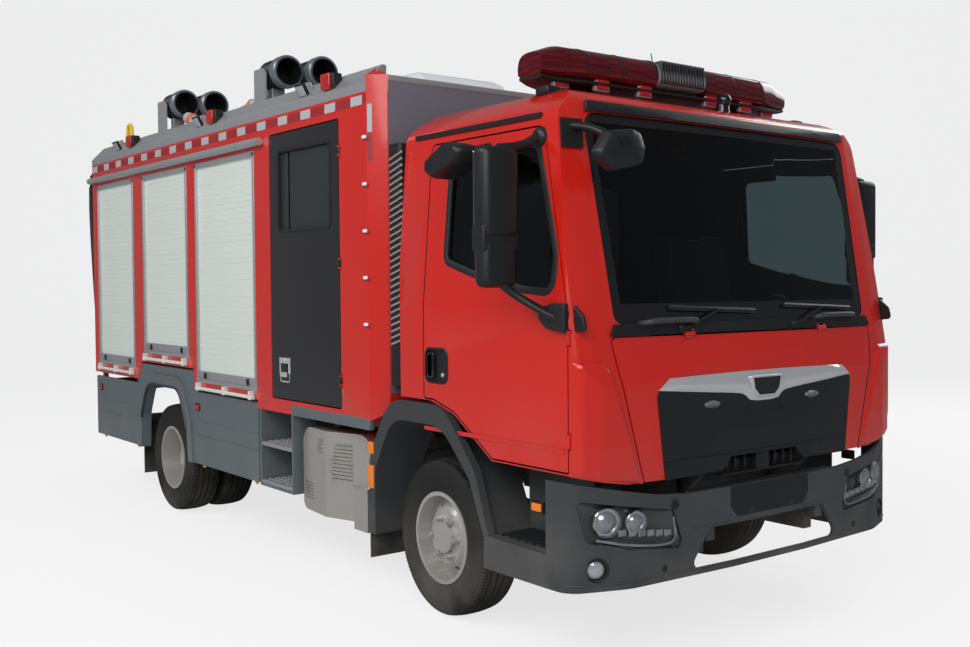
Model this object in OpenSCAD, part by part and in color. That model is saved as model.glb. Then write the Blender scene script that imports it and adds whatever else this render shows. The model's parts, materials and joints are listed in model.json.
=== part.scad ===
// Foam fire truck: a two-axle forward-control chassis, a tilting cab and a
// rescue body with a crew cabin, roller shutters and roof gear.
// Millimetres. X runs forward, Y to the vehicle's left, Z up from the road.
// Lengths along X are counted from the front axle; the last step moves the
// whole truck so that the middle of its length lies at the origin.

/* [Running gear] */
// Front axle to rear axle
wheelbase = 3600; // [3400:50:4000]
// Tyre outer diameter
tyre_d = 797; // [780:1:810]
// Tyre section width
tyre_w = 235; // [215:5:245]
// Bead seat diameter of the rims
rim_d = 445; // [440:1:450]
// Between the centres of the two front tyres
front_track = 1880; // [1840:10:1900]
// Between the centres of the left and right twin pairs
rear_track = 1700; // [1680:10:1720]
// Between the centres of the two tyres of a twin pair
twin_pitch = 266; // [260:2:280]
// Steering pivots inside the middles of their tyres
kingpin_in = 150; // [140:5:170]

/* [Chassis] */
// Width over the frame rails
frame_w = 860; // [840:5:880]
// Height of a frame rail
rail_h = 200; // [180:5:220]
// Underside of the frame rails above the road
rail_z = 620; // [600:5:630]
// Foremost face of the bumper
front_end = 1275; // [1270:1:1280]
// Rearmost reach, at the arms of the ladder
rear_end = 5448; // [5400:2:5500]

/* [Cab] */
// Thickness of the cab's walls
cab_wall = 38; // [30:1:45]
// Gap round each door and the front lid
shut_gap = 8; // [7:0.5:10]
// Height of the cab's tilting axis
tilt_z = 832; // [830:0.5:834]
// Tilting axis in front of the front axle
tilt_x = 1200; // [1196:1:1204]

/* [Body] */
// Half the width of the body
body_hw = 1150; // [1130:5:1180]
// Front edge of the body's side, behind the front axle
body_front = 520; // [510:2:530]
// Rear face of the body, behind the front axle
body_rear = 5210; // [5190:5:5230]
// Bottom of the body's red walls
sill_z = 973; // [965:1:980]
// Underside of the roof rails
eaves_z = 2708; // [2700:2:2740]
// Thickness of the body's walls
body_wall = 45; // [40:1:50]
// Bottom of the grey skirts
skirt_z = 436; // [420:2:450]

/* [Hidden] */
$fn = 48;
EPS = 0.02;
origin_shift = (rear_end - front_end) / 2;
hub_z = tyre_d / 2;
kingpin_y = front_track / 2 - kingpin_in;
rear_x = -wheelbase;

// Outlines with rounded corners: each point is [a, b, corner radius]
function unit(v) = v / norm(v);
function corner(p, q, r, n) =
  let (u = unit([p[0] - q[0], p[1] - q[1]]), v = unit([r[0] - q[0], r[1] - q[1]]),
       half = acos(max(-1, min(1, u * v))) / 2,
       c = [q[0], q[1]] + unit(u + v) * q[2] / sin(half),
       s = [q[0], q[1]] + u * q[2] / tan(half) - c,
       turn = (u[0] * v[1] - u[1] * v[0] > 0 ? -1 : 1) * (180 - 2 * half))
  [for (i = [0:n]) let (a = turn * i / n)
    c + [s[0] * cos(a) - s[1] * sin(a), s[0] * sin(a) + s[1] * cos(a)]];
function rounded(p, n = 5) =
  [for (i = [0:len(p) - 1]) each
    (p[i][2] > 0 ? corner(p[(i + len(p) - 1) % len(p)], p[i], p[(i + 1) % len(p)], n)
                 : [[p[i][0], p[i][1]]])];
// The same outline moved inwards by t; corner points run anticlockwise
function inset(p, t) =
  [for (i = [0:len(p) - 1])
    let (a = p[(i + len(p) - 1) % len(p)], b = p[i], c = p[(i + 1) % len(p)],
         u = unit([b[0] - a[0], b[1] - a[1]]), v = unit([c[0] - b[0], c[1] - b[1]]),
         m = [-u[1], u[0]], n = [-v[1], v[0]], q = [b[0], b[1]] + (m + n) * t / (1 + m * n),
         left = u[0] * v[1] - u[1] * v[0] > 0)
    [q[0], q[1], b[2] == 0 ? 0 : max(left ? b[2] - t : b[2] + t, 1)]];
function box2(a0, b0, a1, b1, r = 0) = [[a0, b0, r], [a1, b0, r], [a1, b1, r], [a0, b1, r]];

// Outlines pushed along one axis: slab_x takes [y, z], slab_y [x, z], slab_z [x, y]
module slab_x(p, x0, x1) translate([x0, 0, 0]) rotate([90, 0, 90]) linear_extrude(x1 - x0) polygon(p);
module slab_y(p, y0, y1) translate([0, y1, 0]) rotate([90, 0, 0]) linear_extrude(y1 - y0) polygon(p);
module slab_z(p, z0, z1) translate([0, 0, z0]) linear_extrude(z1 - z0) polygon(p);
module block(lo, hi) translate(lo) cube(hi - lo);
module both() { children(); mirror([0, 1, 0]) children(); }
module rod(a, b, r) {
  d = b - a;
  translate(a) rotate([0, acos(d[2] / norm(d)), atan2(d[1], d[0])]) cylinder(r = r, h = norm(d));
}
module side_rod(x, z, y0, y1, r) translate([x, y1, z]) rotate([90, 0, 0]) cylinder(r = r, h = y1 - y0);

// Wheels, drawn round Z with w counted outwards from the tyre's middle
bead_r = rim_d / 2;
tyre_r = tyre_d / 2;
half_t = tyre_w / 2;
barrel_w = half_t - 17;
barrel_t = 9;
flange_h = 11;
hub_r = 78;
flange_r = 120;
disc_t = 14;
disc_r = 128;
stud_circle_r = 102.5;
spindle_r = 40;
spindle_gap = 0.06;
front_y = front_track / 2;
twin_out = rear_track / 2 + twin_pitch / 2;
groove_w = [-60, -20, 20, 60];
// Disc face and hub of a front and of a rear wheel, along w
front_face = 72;
front_hub = [-30, 96];
rear_face = -twin_pitch / 2 + 7;
rear_hub = [-200, 20];
hub_floor = 24;
module at_wheel(x, y) translate([x, y, hub_z]) rotate([y < 0 ? 90 : -90, 0, 0]) children();

module tyre() color([0.09, 0.09, 0.09]) difference() {
  rotate_extrude($fn = 64) polygon(rounded([
    [bead_r + 0.3, -half_t + 22, 4], [bead_r + 22, -half_t + 14, 6], [bead_r + 80, -half_t, 45],
    [tyre_r - 42, -half_t + 6, 30], [tyre_r - 9, -half_t + 20, 12], [tyre_r, -half_t + 60, 60],
    [tyre_r, half_t - 60, 60], [tyre_r - 9, half_t - 20, 12], [tyre_r - 42, half_t - 6, 30],
    [bead_r + 80, half_t, 45], [bead_r + 22, half_t - 14, 6], [bead_r + 0.3, half_t - 22, 4]], 3));
  for (w = groove_w) translate([0, 0, w - 4]) difference() {
    cylinder(r = tyre_r + 5, h = 8);
    translate([0, 0, -1]) cylinder(r = tyre_r - 12, h = 10);
  }
}
// Barrel, flanges and dished disc with eight hand holes
module rim(face) {
  side = face > 0 ? 1 : -1;
  for (w = [-barrel_w - 7, barrel_w]) translate([0, 0, w]) difference() {
    cylinder(r = bead_r + flange_h, h = 7);
    translate([0, 0, -1]) cylinder(r = bead_r - barrel_t, h = 9);
  }
  difference() {
    union() {
      rotate_extrude() polygon([[bead_r - barrel_t, -barrel_w], [bead_r, -barrel_w],
        [bead_r, barrel_w], [bead_r - barrel_t, barrel_w]]);
      rotate_extrude() polygon([[60, face - side * disc_t], [disc_r, face - side * disc_t],
        [bead_r - 30, face - side * 62], [bead_r - 5, face - side * 70],
        [bead_r - 5, face - side * 56], [bead_r - 24, face - side * 46],
        [disc_r + 8, face], [60, face]]);
    }
    for (i = [0:7]) rotate([0, 0, i * 45 + 22.5]) translate([164, 0, face - side * 30])
      rotate([0, side * 45, 0]) cylinder(r = 17, h = 70, center = true);
  }
}
module hub(face, from_w, to_w) {
  difference() {
    union() {
      translate([0, 0, from_w]) cylinder(r = hub_r, h = to_w - from_w);
      translate([0, 0, face - disc_t - 0.5]) cylinder(r = flange_r, h = disc_t);
    }
    translate([0, 0, from_w - 1]) cylinder(r = spindle_r + spindle_gap, h = to_w - from_w - hub_floor);
  }
  for (i = [0:5]) rotate([0, 0, i * 60]) translate([stud_circle_r, 0, face - 2]) {
    cylinder(r = 20, h = 12);
    cylinder(r = 15, h = 30, $fn = 6);
    cylinder(r = 9, h = 40);
  }
}
module front_wheel_rim() color([0.72, 0.71, 0.68]) { rim(front_face); hub(front_face, front_hub[0], front_hub[1]); }
module rear_wheel_rims() color([0.62, 0.61, 0.58]) {
  rim(rear_face);
  translate([0, 0, -twin_pitch]) mirror([0, 0, 1]) rim(rear_face);
  hub(rear_face, rear_hub[0], rear_hub[1]);
}

// Frame: two channel rails, crossmembers, the body's subframe and its outriggers
rail_top = rail_z + rail_h;
rail_y = frame_w / 2;
rail_t = 8;
flange_w = 70;
frame_front = 1060;
frame_back = body_rear - 60;
subframe_top = sill_z - 66;
crossmember_x = [880, -830, -1500, -2300, -2960, -4240, -4900];
outrigger_x = [-1100, -1400, -2600, -4400, -5000];
module channel_rail() difference() {
  block([-frame_back, rail_y - flange_w, rail_z], [frame_front, rail_y, rail_top]);
  block([-frame_back - 1, rail_y - flange_w - 1, rail_z + rail_t],
        [frame_front + 1, rail_y - rail_t, rail_top - rail_t]);
}
module chassis_frame() color([0.12, 0.12, 0.13]) {
  both() channel_rail();
  both() block([-frame_back, rail_y - 60, rail_top], [-body_front - 60, rail_y, subframe_top]);
  for (x = crossmember_x)
    block([x - 30, -rail_y + rail_t, rail_z + 40], [x + 30, rail_y - rail_t, rail_top - 40]);
  for (x = outrigger_x) both()
    block([x - 30, rail_y, subframe_top - 50], [x + 30, body_hw - 110, subframe_top]);
  // bumper carriers and the lugs of the tilting axis
  both() block([frame_front - 160, rail_y - 62, rail_z - 190], [frame_front, rail_y - rail_t, rail_z]);
  both() block([frame_front - 10, rail_y - 62, rail_z - 190], [bumper_in, rail_y - 3, rail_z + 40]);
  tilt_lugs();
}
tilt_pin_r = 16;
tilt_lug_y = [rail_y - 60, rail_y - 44];
tilt_eye_y = [rail_y - 43, rail_y - 23];
tilt_boss_r = 23;
// Room that a piece in front of the tilting axis leaves round the lugs and eyes
module tilt_room() both() {
  side_rod(tilt_x, tilt_z, tilt_lug_y[0] - 8, tilt_eye_y[1] + 6, tilt_boss_r + 6);
  block([lid_back - 10, tilt_lug_y[0] - 8, 700], [tilt_x + tilt_boss_r + 6, tilt_eye_y[1] + 6, tilt_z + 54]);
}
module tilt_lugs() both() difference() {
  union() {
    side_rod(tilt_x, tilt_z, tilt_lug_y[0], tilt_lug_y[1], tilt_boss_r);
    slab_y([[frame_front - 60, rail_z + 60], [frame_front, rail_z + 60], [tilt_x + 16, tilt_z - 16],
      [tilt_x - 16, tilt_z + 16], [frame_front - 60, rail_top - 20]], tilt_lug_y[0], tilt_lug_y[1]);
  }
  side_rod(tilt_x, tilt_z, tilt_lug_y[0] - 1, tilt_lug_y[1] + 1, tilt_pin_r + 0.05);
}

// Leaf springs: arcs of leaves, thinner and shorter downwards, hung from the rails
spring_y = rail_y - 35;
spring_w = 70;
leaf_t = 14;
leaf_reach = [1, 0.84, 0.62, 0.4];
axle_pad = 424;
module leaf(x, z, half, rise) slab_y(concat(
  [for (k = [-4:4]) [x + half * k / 4, z + rise * pow(half * k / 4 / 640, 2)]],
  [for (k = [4:-1:-4]) [x + half * k / 4, z + leaf_t + 2 + rise * pow(half * k / 4 / 640, 2)]]),
  spring_y - spring_w / 2, spring_y + spring_w / 2);
module leaf_pack(x, z, half, rise) {
  n = len(leaf_reach);
  for (i = [0:n - 1]) leaf(x, z + (n - 1 - i) * leaf_t, half * leaf_reach[i], rise);
  top = z + (n - 1) * leaf_t + rise * pow(half / 640, 2) + leaf_t / 2;
  for (s = [-1, 1]) {
    side_rod(x + s * half, top, spring_y - spring_w / 2, spring_y + spring_w / 2, 22);
    block([x + s * half - 20, spring_y - spring_w / 2, top], [x + s * half + 20, spring_y + spring_w / 2, rail_z]);
  }
  for (d = [-70, 70]) block([x + d - 8, spring_y - spring_w / 2 - 8, z],
    [x + d + 8, spring_y + spring_w / 2 + 8, z + n * leaf_t + 14]);
}
module leaf_springs() color([0.14, 0.13, 0.13]) both() {
  leaf_pack(0, axle_pad, 600, 66);
  leaf_pack(rear_x, hub_z + 66, 640, 40);
}

// Front axle: a dropped beam with an eye and a pin for each knuckle
kingpin_r = 20;
eye_half = 52;
knuckle_h = 56;
module front_axle() color([0.14, 0.13, 0.13]) {
  slab_x(rounded([[-kingpin_y + 8, hub_z - 46, 0], [180 - kingpin_y, hub_z - 46, 40], [270 - kingpin_y, hub_z - 96, 40],
    [kingpin_y - 270, hub_z - 96, 40], [kingpin_y - 180, hub_z - 46, 40], [kingpin_y - 8, hub_z - 46, 0],
    [kingpin_y - 8, hub_z + 46, 0], [560, hub_z + 46, 60], [500, axle_pad, 30],
    [-500, axle_pad, 30], [-560, hub_z + 46, 60], [-kingpin_y + 8, hub_z + 46, 0]]), -42, 42);
  both() translate([0, kingpin_y, 0]) {
    translate([0, 0, hub_z - eye_half]) cylinder(r = 42, h = 2 * eye_half);
    translate([0, 0, hub_z - eye_half - knuckle_h]) cylinder(r = kingpin_r, h = 2 * (eye_half + knuckle_h));
  }
}
// Steering knuckle: a fork on the kingpin, a brake plate and the spindle
knuckle_gap = 0.4;
module knuckle() color([0.2, 0.19, 0.18]) {
  difference() {
    union() {
      for (z = [hub_z - eye_half - knuckle_h, hub_z + eye_half + knuckle_gap])
        translate([0, kingpin_y, z]) cylinder(r = 40, h = knuckle_h - knuckle_gap);
      for (z = [hub_z - eye_half - knuckle_h, hub_z + eye_half + knuckle_gap])
        block([-38, kingpin_y, z], [38, kingpin_y + 62, z + knuckle_h - knuckle_gap]);
      block([-46, kingpin_y + 46, hub_z - eye_half - knuckle_h], [46, kingpin_y + 66, hub_z + eye_half + knuckle_h]);
    }
    translate([0, kingpin_y, 0]) cylinder(r = kingpin_r + 0.05, h = 900);
  }
  side_rod(0, hub_z, kingpin_y + 60, kingpin_y + 82, 165);
  side_rod(0, hub_z, kingpin_y + 80, front_y + front_hub[1] - hub_floor - 5, spindle_r);
}
// Rear axle: tube, banjo housing, brake drums, spindles and the propeller shaft
module rear_axle() color([0.14, 0.13, 0.13]) translate([rear_x, 0, 0]) {
  side_rod(0, hub_z, -620, 620, 66);
  translate([0, 0, hub_z]) sphere(r = 168);
  rod([0, 0, hub_z], [300, 0, hub_z + 30], 92);
  rod([290, 0, hub_z + 30], [2480, 0, 640], 42);
  both() {
    side_rod(0, hub_z, 590, twin_out + rear_hub[0] - 6, 150);
    side_rod(0, hub_z, 600, twin_out + rear_hub[1] - hub_floor - 5, spindle_r);
    block([-60, spring_y - 45, hub_z], [60, spring_y + 45, hub_z + 66]);
  }
}
engine_lo = [-260, -320, 540];
engine_hi = [775, 320, 1150];
module engine() color([0.25, 0.25, 0.26]) {
  block(engine_lo, engine_hi);
  rod([-260, 0, 660], [-760, 0, 650], 170);
  for (x = [-120, 560]) block([x, -rail_y + rail_t, 660], [x + 80, rail_y - rail_t, 720]);
}
tank_x = [-1400, -720];
module fuel_tank() color([0.55, 0.56, 0.57]) {
  slab_x(rounded(box2(600, 400, 1060, 850, 70)), tank_x[0], tank_x[1]);
  for (x = [-1280, -900]) {
    slab_x(rounded(box2(594, 394, 1066, 856, 74)), x, x + 60);
    block([x, rail_y, 700], [x + 60, 604, 780]);
  }
  translate([-800, 960, 845]) cylinder(r = 45, h = 40);
}
// Stainless exhaust box with a louvred cover, its pipe, the battery step and the additive filler
silencer_x = [-1410, -700];
silencer_y = body_hw - 10;
// Folded cover: the fold stands proud, and both faces fall back from it
fold_x = -1050;
fold_back = [0.1, 0.27];
// Louvres as [x0, x1, rows, top row's height]
louvre_sets = [[-1000, -840, 10, 780], [-1180, -1090, 4, 790]];
function cover_y(x) = -silencer_y + abs(x - fold_x) * fold_back[x < fold_x ? 0 : 1];
module silencer() color([0.7, 0.69, 0.66]) {
  difference() {
    intersection() {
      slab_z(rounded([[silencer_x[0], cover_y(silencer_x[0]), 12], [fold_x, -silencer_y, 4],
        [silencer_x[1], cover_y(silencer_x[1]), 30], [silencer_x[1], -620, 20], [silencer_x[0], -620, 20]]), 350, 850);
      slab_y(rounded([[silencer_x[0], 354, 70], [silencer_x[1] - 130, 354, 10], [silencer_x[1], 560, 20],
        [silencer_x[1], 847, 90], [silencer_x[0], 847, 130]]), -1200, -600);
    }
    for (v = louvre_sets) for (k = [0:v[2] - 1]) let (x0 = v[0] + 8 * max(0, 4 - k))
      slab_z([[x0, cover_y(x0) - 5], [v[1], cover_y(v[1]) - 5], [v[1], cover_y(v[1]) + 8], [x0, cover_y(x0) + 8]],
        v[3] - k * 21 - 9, v[3] - k * 21);
  }
  for (x = [-1250, -850]) block([x, -622, 700], [x + 60, -rail_y, 780]);
  difference() {
    rod([-780, -700, 545], [-240, -240, 585], 36);
    block(engine_lo, engine_hi);
    block([silencer_x[0], -900, 400], [silencer_x[1] - 20, -400, 700]);
  }
  block([-760, -body_hw + 30, 330], [-610, -820, 565]);
  block([-760, -822, 480], [-610, -rail_y, 540]);
  block([silencer_x[1] - 30, -900, 620], [-640, -830, 680]);
  block([-660, -880, 560], [-640, -840, 640]);
}
// Front wings: flare, mudguard, entry step and its riser
wing_y = 1136;
wing_outer = [[-562, 345, 0], [-500, 345, 0], [-496, 700, 150], [-320, 985, 200], [150, 985, 240],
  [385, 760, 110], [505, 505, 0], [505, 357, 0], [980, 357, 0], [980, 505, 0], [540, 512, 0],
  [432, 800, 120], [165, 1088, 260], [-350, 1088, 240], [-552, 760, 160]];
wing_liner = [[-500, 345, 0], [-496, 700, 150], [-320, 985, 200], [150, 985, 240], [385, 760, 110],
  [505, 505, 0], [513, 505, 0], [393, 764, 112], [154, 993, 244], [-324, 993, 204], [-504, 702, 152],
  [-508, 345, 0]];
module front_wings() color([0.13, 0.135, 0.14]) both() {
  slab_y(rounded(wing_outer), wing_y - 42, wing_y);
  slab_y(rounded(wing_liner), 840, wing_y - 40);
  difference() {
    block([505, 850, 357], [980, wing_y - 30, 512]);
    block([540, 870, 380], [950, wing_y - 50, 495]);
    for (i = [0:6]) block([560 + i * 58, 890, 480], [590 + i * 58, wing_y - 55, 520]);
  }
  block([505, 850, 500], [980, 866, 850]);
  block([620, rail_y, 640], [700, 852, 700]);
  block([-560, rail_y, 700], [-500, 842, 760]);
}
module flap(x, y0, y1, z0, z1) block([x, y0, z0], [x + 10, y1, z1]);
module mud_flaps() color([0.07, 0.07, 0.07]) both() {
  flap(-572, 830, wing_y - 10, 208, 690);
  flap(rear_x - 620, 590, body_hw - 60, 205, 620);
}

// Bumper: a wrapped shell, open at the back and top
bumper_t = 22;
bumper_y = 1146;
// Crest of the bumper as [y, z], rising to the corners under the cab's lower edge
bumper_crest = [[560, 738], [720, 752], [940, 794], [1300, 866]];
bumper_plan = [[984, -bumper_y, 0], [1130, -bumper_y, 110], [1240, -880, 260], [front_end, -260, 900],
  [front_end, 260, 900], [1240, 880, 260], [1130, bumper_y, 110], [984, bumper_y, 0]];
bumper_in = 1180;
module bumper_form(t) slab_z(rounded(inset(bumper_plan, t)), 300, 900);
headlamp = [[-1112, 757, 20], [-1068, 576, 40], [-892, 530, 40], [-572, 496, 30], [-634, 677, 25]];
bumper_back = bumper_plan[0][0];
module bumper_shell(t0, t1) difference() {
  bumper_form(t0);
  bumper_form(t1);
  block([bumper_back - 1, -bumper_y + t1, 200], [bumper_back + t1 + 1, bumper_y - t1, 1000]);
}
module front_bumper() color([0.13, 0.135, 0.14]) {
  difference() {
    bumper_shell(0, bumper_t);
    block([900, -1300, 200], [1400, 1300, 362]);
    slab_x(concat([[-1300, 1000]], [for (i = [3:-1:0]) [-bumper_crest[i][0], bumper_crest[i][1]]],
      bumper_crest, [[1300, 1000]]), 900, 1400);
    slab_x(rounded([[-540, 388, 30], [540, 388, 30], [410, 565, 30], [-410, 565, 30]]), 1150, 1400);
    both() slab_x(rounded(headlamp), 1000, 1400);
    both() rod([1100, -1020, 455], [1400, -1020, 455], 48);
  }
  both() block([bumper_in, rail_y - 62, rail_z - 120], [front_end - bumper_t - 2, rail_y - rail_t, rail_z + 20]);
}
module front_lamps() color([0.85, 0.87, 0.88]) both() {
  intersection() {
    bumper_shell(4, 60);
    slab_x(rounded(inset(headlamp, fit)), 1050, 1400);
  }
  intersection() {
    bumper_shell(6, 50);
    rod([1100, -1020, 455], [1400, -1020, 455], 48 - fit);
  }
}

// Cab form: side outline, front outline and two plan outlines, one raked with the windscreen
rake = 10.6;
screen_foot = [1192, 1489];
cab_rear = -280;
cab_side = [[cab_rear, 1105, 0], [30, 1105, 180], [240, 1052, 60], [552, 862, 20], [1120, 862, 10],
  [1150, 816, 5], [1232, 806, 10], [1238, 1000, 300], [1214, 1400, 60], [1192, 1489, 40],
  [1010, 2462, 120], [880, 2560, 260], [300, 2590, 400], [-180, 2575, 90], [cab_rear, 2490, 60]];
cab_front = [[-1120, 860, 0], [-1000, 832, 0], [-700, 780, 0], [700, 780, 0], [1000, 832, 0], [1120, 860, 0],
  [1120, 1560, 300], [1052, 2440, 100], [900, 2570, 200], [0, 2592, 4000], [-900, 2570, 200], [-1052, 2440, 100], [-1120, 1560, 300]];
cab_plan = [[cab_rear, -1120, 40], [1160, -1120, 60], [1200, -1000, 100], [1240, -300, 900],
  [1240, 300, 900], [1200, 1000, 100], [1160, 1120, 60], [cab_rear, 1120, 40]];
raked_plan = [[-1900, -1160, 0], [-60, -1138, 60], [-34, -960, 130], [0, -300, 900],
  [0, 300, 900], [-34, 960, 130], [-60, 1138, 60], [-1900, 1160, 0]];
module cab_form(t) intersection() {
  slab_y(rounded(inset(cab_side, t)), -1300, 1300);
  slab_x(rounded(inset(cab_front, t)), -1000, 1400);
  slab_z(rounded(inset(cab_plan, t)), 600, 2800);
  translate([screen_foot[0], 0, screen_foot[1]]) rotate([0, -rake, 0])
    slab_z(rounded(inset(raked_plan, t)), -1200, 1500);
}
module cab_layer(t0, t1) difference() { cab_form(t0); cab_form(t1); }
screen_outline = [[-895, 1500, 50], [895, 1500, 50], [925, 2440, 70], [-925, 2440, 70]];
rear_window = [[-420, 1750, 60], [420, 1750, 60], [420, 2250, 60], [-420, 2250, 60]];
door_outline = [[-26, 1112, 20], [60, 1112, 160], [245, 1062, 60], [556, 872, 10], [1112, 872, 10],
  [1112, 1550, 60], [880, 2378, 60], [-26, 2378, 40]];
door_window = [[150, 1792, 50], [398, 1728, 200], [790, 1655, 60], [1000, 1640, 60], [1016, 1800, 200],
  [845, 2305, 60], [160, 2305, 60]];
lid_back = 1150;
lid_outline = [[-770, 796, 20], [770, 796, 20], [800, 900, 60], [905, 1290, 40],
  [930, 1448, 30], [-930, 1448, 30], [-905, 1290, 40], [-800, 900, 60]];
grille_outline = [[-652, 790, 5], [652, 790, 5], [702, 1205, 30], [-702, 1205, 30]];
door_inner = 1012;
hinge_z = [1010, 1450];
hinge_x = 1116;
hinge_y = 1120;
hinge_r = 10;
pin_r = 5;
pin_gap = 0.06;
// Fixed half of a door hinge on the left side: two lugs and their pin; then the door's eye
module hinge_fixed(x, y, z) {
  for (k = [-30, 20.5]) {
    translate([x, y, z + k]) cylinder(r = hinge_r, h = 9.5);
    block([x, y - hinge_r, z + k], [x + 18, y - 2, z + k + 9.5]);
  }
  translate([x, y, z - 30]) cylinder(r = pin_r, h = 60);
}
module hinge_room(x, y, z) translate([x, y, z - 36]) cylinder(r = hinge_r + 3, h = 72);
module hinge_eye(x, y, z) difference() {
  union() {
    translate([x, y, z - 20]) cylinder(r = hinge_r, h = 40);
    block([x - 18, y - hinge_r, z - 20], [x, y - 2, z + 20]);
  }
  translate([x, y, z - 40]) cylinder(r = pin_r + pin_gap, h = 80);
}
tunnel_x = 840;
tunnel_y = 430;
tunnel_z = 1235;
fit = 0.2;
module cab_shell() color([0.75, 0.07, 0.05]) {
  difference() {
    union() {
      cab_layer(0, cab_wall);
      intersection() { cab_form(1); block([cab_rear, -tunnel_y, 860], [tunnel_x, tunnel_y, tunnel_z]); }
    }
    block([cab_rear - 10, 35 - tunnel_y, 700], [tunnel_x - 35, tunnel_y - 35, tunnel_z - 35]);
    both() slab_y(rounded(inset(door_outline, -shut_gap / 2)), door_inner - shut_gap, 1300);
    slab_x(rounded(screen_outline), 860, 1400);
    slab_x(rounded(rear_window), cab_rear - 10, 0);
    slab_x(rounded(inset(lid_outline, -shut_gap / 2)), lid_back - shut_gap, 1400);
    both() for (z = hinge_z) hinge_room(hinge_x, hinge_y, z);
    both() block([1000, tilt_lug_y[0] - 8, 700], [tilt_x + 40, tilt_lug_y[1] + 1, 864]);
    both() block([1000, tilt_lug_y[1] + 1, 700], [tilt_x + 40, tilt_eye_y[1] + 6, 862]);
  }
  both() for (z = hinge_z) hinge_fixed(hinge_x, hinge_y, z);
  both() lid_hinge_fixed(lid_hinge_y);
  // eyes of the tilting axis under the floor
  both() {
    side_rod(tilt_x, tilt_z, tilt_eye_y[0], tilt_eye_y[1], tilt_boss_r);
    side_rod(tilt_x, tilt_z, tilt_lug_y[0] - 4, tilt_eye_y[1], tilt_pin_r);
    slab_y([[tilt_x - 110, 866], [tilt_x - 16, tilt_z - 16], [tilt_x + 16, tilt_z + 16],
      [tilt_x - 84, 898]], tilt_eye_y[0], tilt_eye_y[1]);
  }
}
lid_axis = [1205, 1452];
lid_hinge_y = 480;
lid_knuckle_r = 9;
module lid_hinge_fixed(y) {
  for (k = [-30, 20.5]) {
    side_rod(lid_axis[0], lid_axis[1], y + k, y + k + 9.5, lid_knuckle_r);
    block([lid_axis[0] - 24, y + k, lid_axis[1]], [lid_axis[0] - 1, y + k + 9.5, lid_axis[1] + 20]);
  }
  side_rod(lid_axis[0], lid_axis[1], y - 30, y + 30, pin_r);
}
module lid_hinge_eye(y) difference() {
  union() {
    side_rod(lid_axis[0], lid_axis[1], y - 20, y + 20, lid_knuckle_r);
    block([lid_axis[0] - 24, y - 20, lid_axis[1] - 20], [lid_axis[0] - 1, y + 20, lid_axis[1]]);
  }
  side_rod(lid_axis[0], lid_axis[1], y - 40, y + 40, pin_r + pin_gap);
}
module windscreen() color([0.25, 0.35, 0.36, 0.4]) {
  intersection() { cab_layer(8, 16); slab_x(rounded(screen_outline), 860, 1400); }
  intersection() { cab_layer(8, 16); slab_x(rounded(rear_window), cab_rear - 10, 0); }
}
module dashboard() color([0.12, 0.12, 0.125]) {
  intersection() {
    cab_form(cab_wall + fit);
    slab_y(rounded([[880, 1150, 40], [1140, 1040, 0], [1140, 1470, 0], [1060, 1490, 40], [810, 1400, 60]]),
      40 - door_inner, door_inner - 40);
  }
  rod([860, 560, 1300], [700, 560, 1440], 24);
  translate([700, 560, 1440]) rotate([0, -49, 0]) {
    rotate_extrude() translate([215, 0]) circle(r = 15, $fn = 8);
    translate([0, 0, -20]) cylinder(r = 48, h = 36);
    for (a = [10, 130, 250]) rotate([0, 0, a]) block([30, -18, -8], [212, 18, 6]);
  }
}
seat_y = [-690, 690];
seat_half = 245;
module cab_seats() color([0.1, 0.11, 0.14]) intersection() {
  cab_form(cab_wall + fit);
  for (y = seat_y) slab_y(rounded([[40, 900, 0], [470, 900, 0], [470, 1290, 20], [560, 1310, 30], [560, 1400, 45],
    [200, 1390, 30], [110, 1960, 50], [0, 1960, 50], [60, 1330, 50]]), y - seat_half, y + seat_half);
}
// Warning beam: its ends taper to a point, swept back in front and forward behind
bar_plan = [[330, -600, 30], [520, -880, 20], [610, -880, 30], [700, -620, 80],
  [700, 620, 80], [610, 880, 30], [520, 880, 20], [330, 600, 30]];
bar_front = [[-880, 2672, 20], [-700, 2640, 20], [700, 2640, 20], [880, 2672, 20],
  [860, 2735, 30], [700, 2806, 60], [-700, 2806, 60], [-860, 2735, 30]];
module light_bar() color([0.45, 0.02, 0.03]) {
  intersection() {
    slab_x(rounded(bar_front), 300, 740);
    slab_z(rounded(bar_plan), 2600, 2900);
  }
  difference() {
    both() block([420, 500, 2540], [600, 580, 2645]);
    cab_form(0);
  }
}
module cab_trim() color([0.08, 0.08, 0.085]) difference() {
  union() {
    // wipers
    for (y = [-520, 260]) {
      rod([1172, y, 1470], [1192, y + 230, 1558], 10);
      rod([1188, y - 60, 1570], [1190, y + 500, 1545], 9);
    }
    // front view mirror on the right-hand pillar
    rod([930, -1000, 2400], [1210, -960, 2300], 24);
    slab_x(rounded(box2(-1060, 2150, -770, 2345, 70)), 1180, 1262);
  }
  cab_form(0);
}
module front_lid() color([0.75, 0.07, 0.05]) {
  difference() {
    intersection() {
      cab_layer(0, cab_wall);
      slab_x(rounded(inset(lid_outline, shut_gap / 2)), lid_back, 1400);
    }
    slab_x(rounded(grille_outline), 1000, 1400);
  }
  both() lid_hinge_eye(lid_hinge_y);
}
module grille() color([0.07, 0.07, 0.075]) {
  difference() {
    intersection() { cab_layer(-4, cab_wall - 6); slab_x(rounded(grille_outline), lid_back, 1400); }
    slab_x(rounded([[-320, 780, 0], [320, 780, 0], [235, 870, 15], [-235, 870, 15]]), 1190, 1400);
    tilt_room();
  }
}
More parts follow.
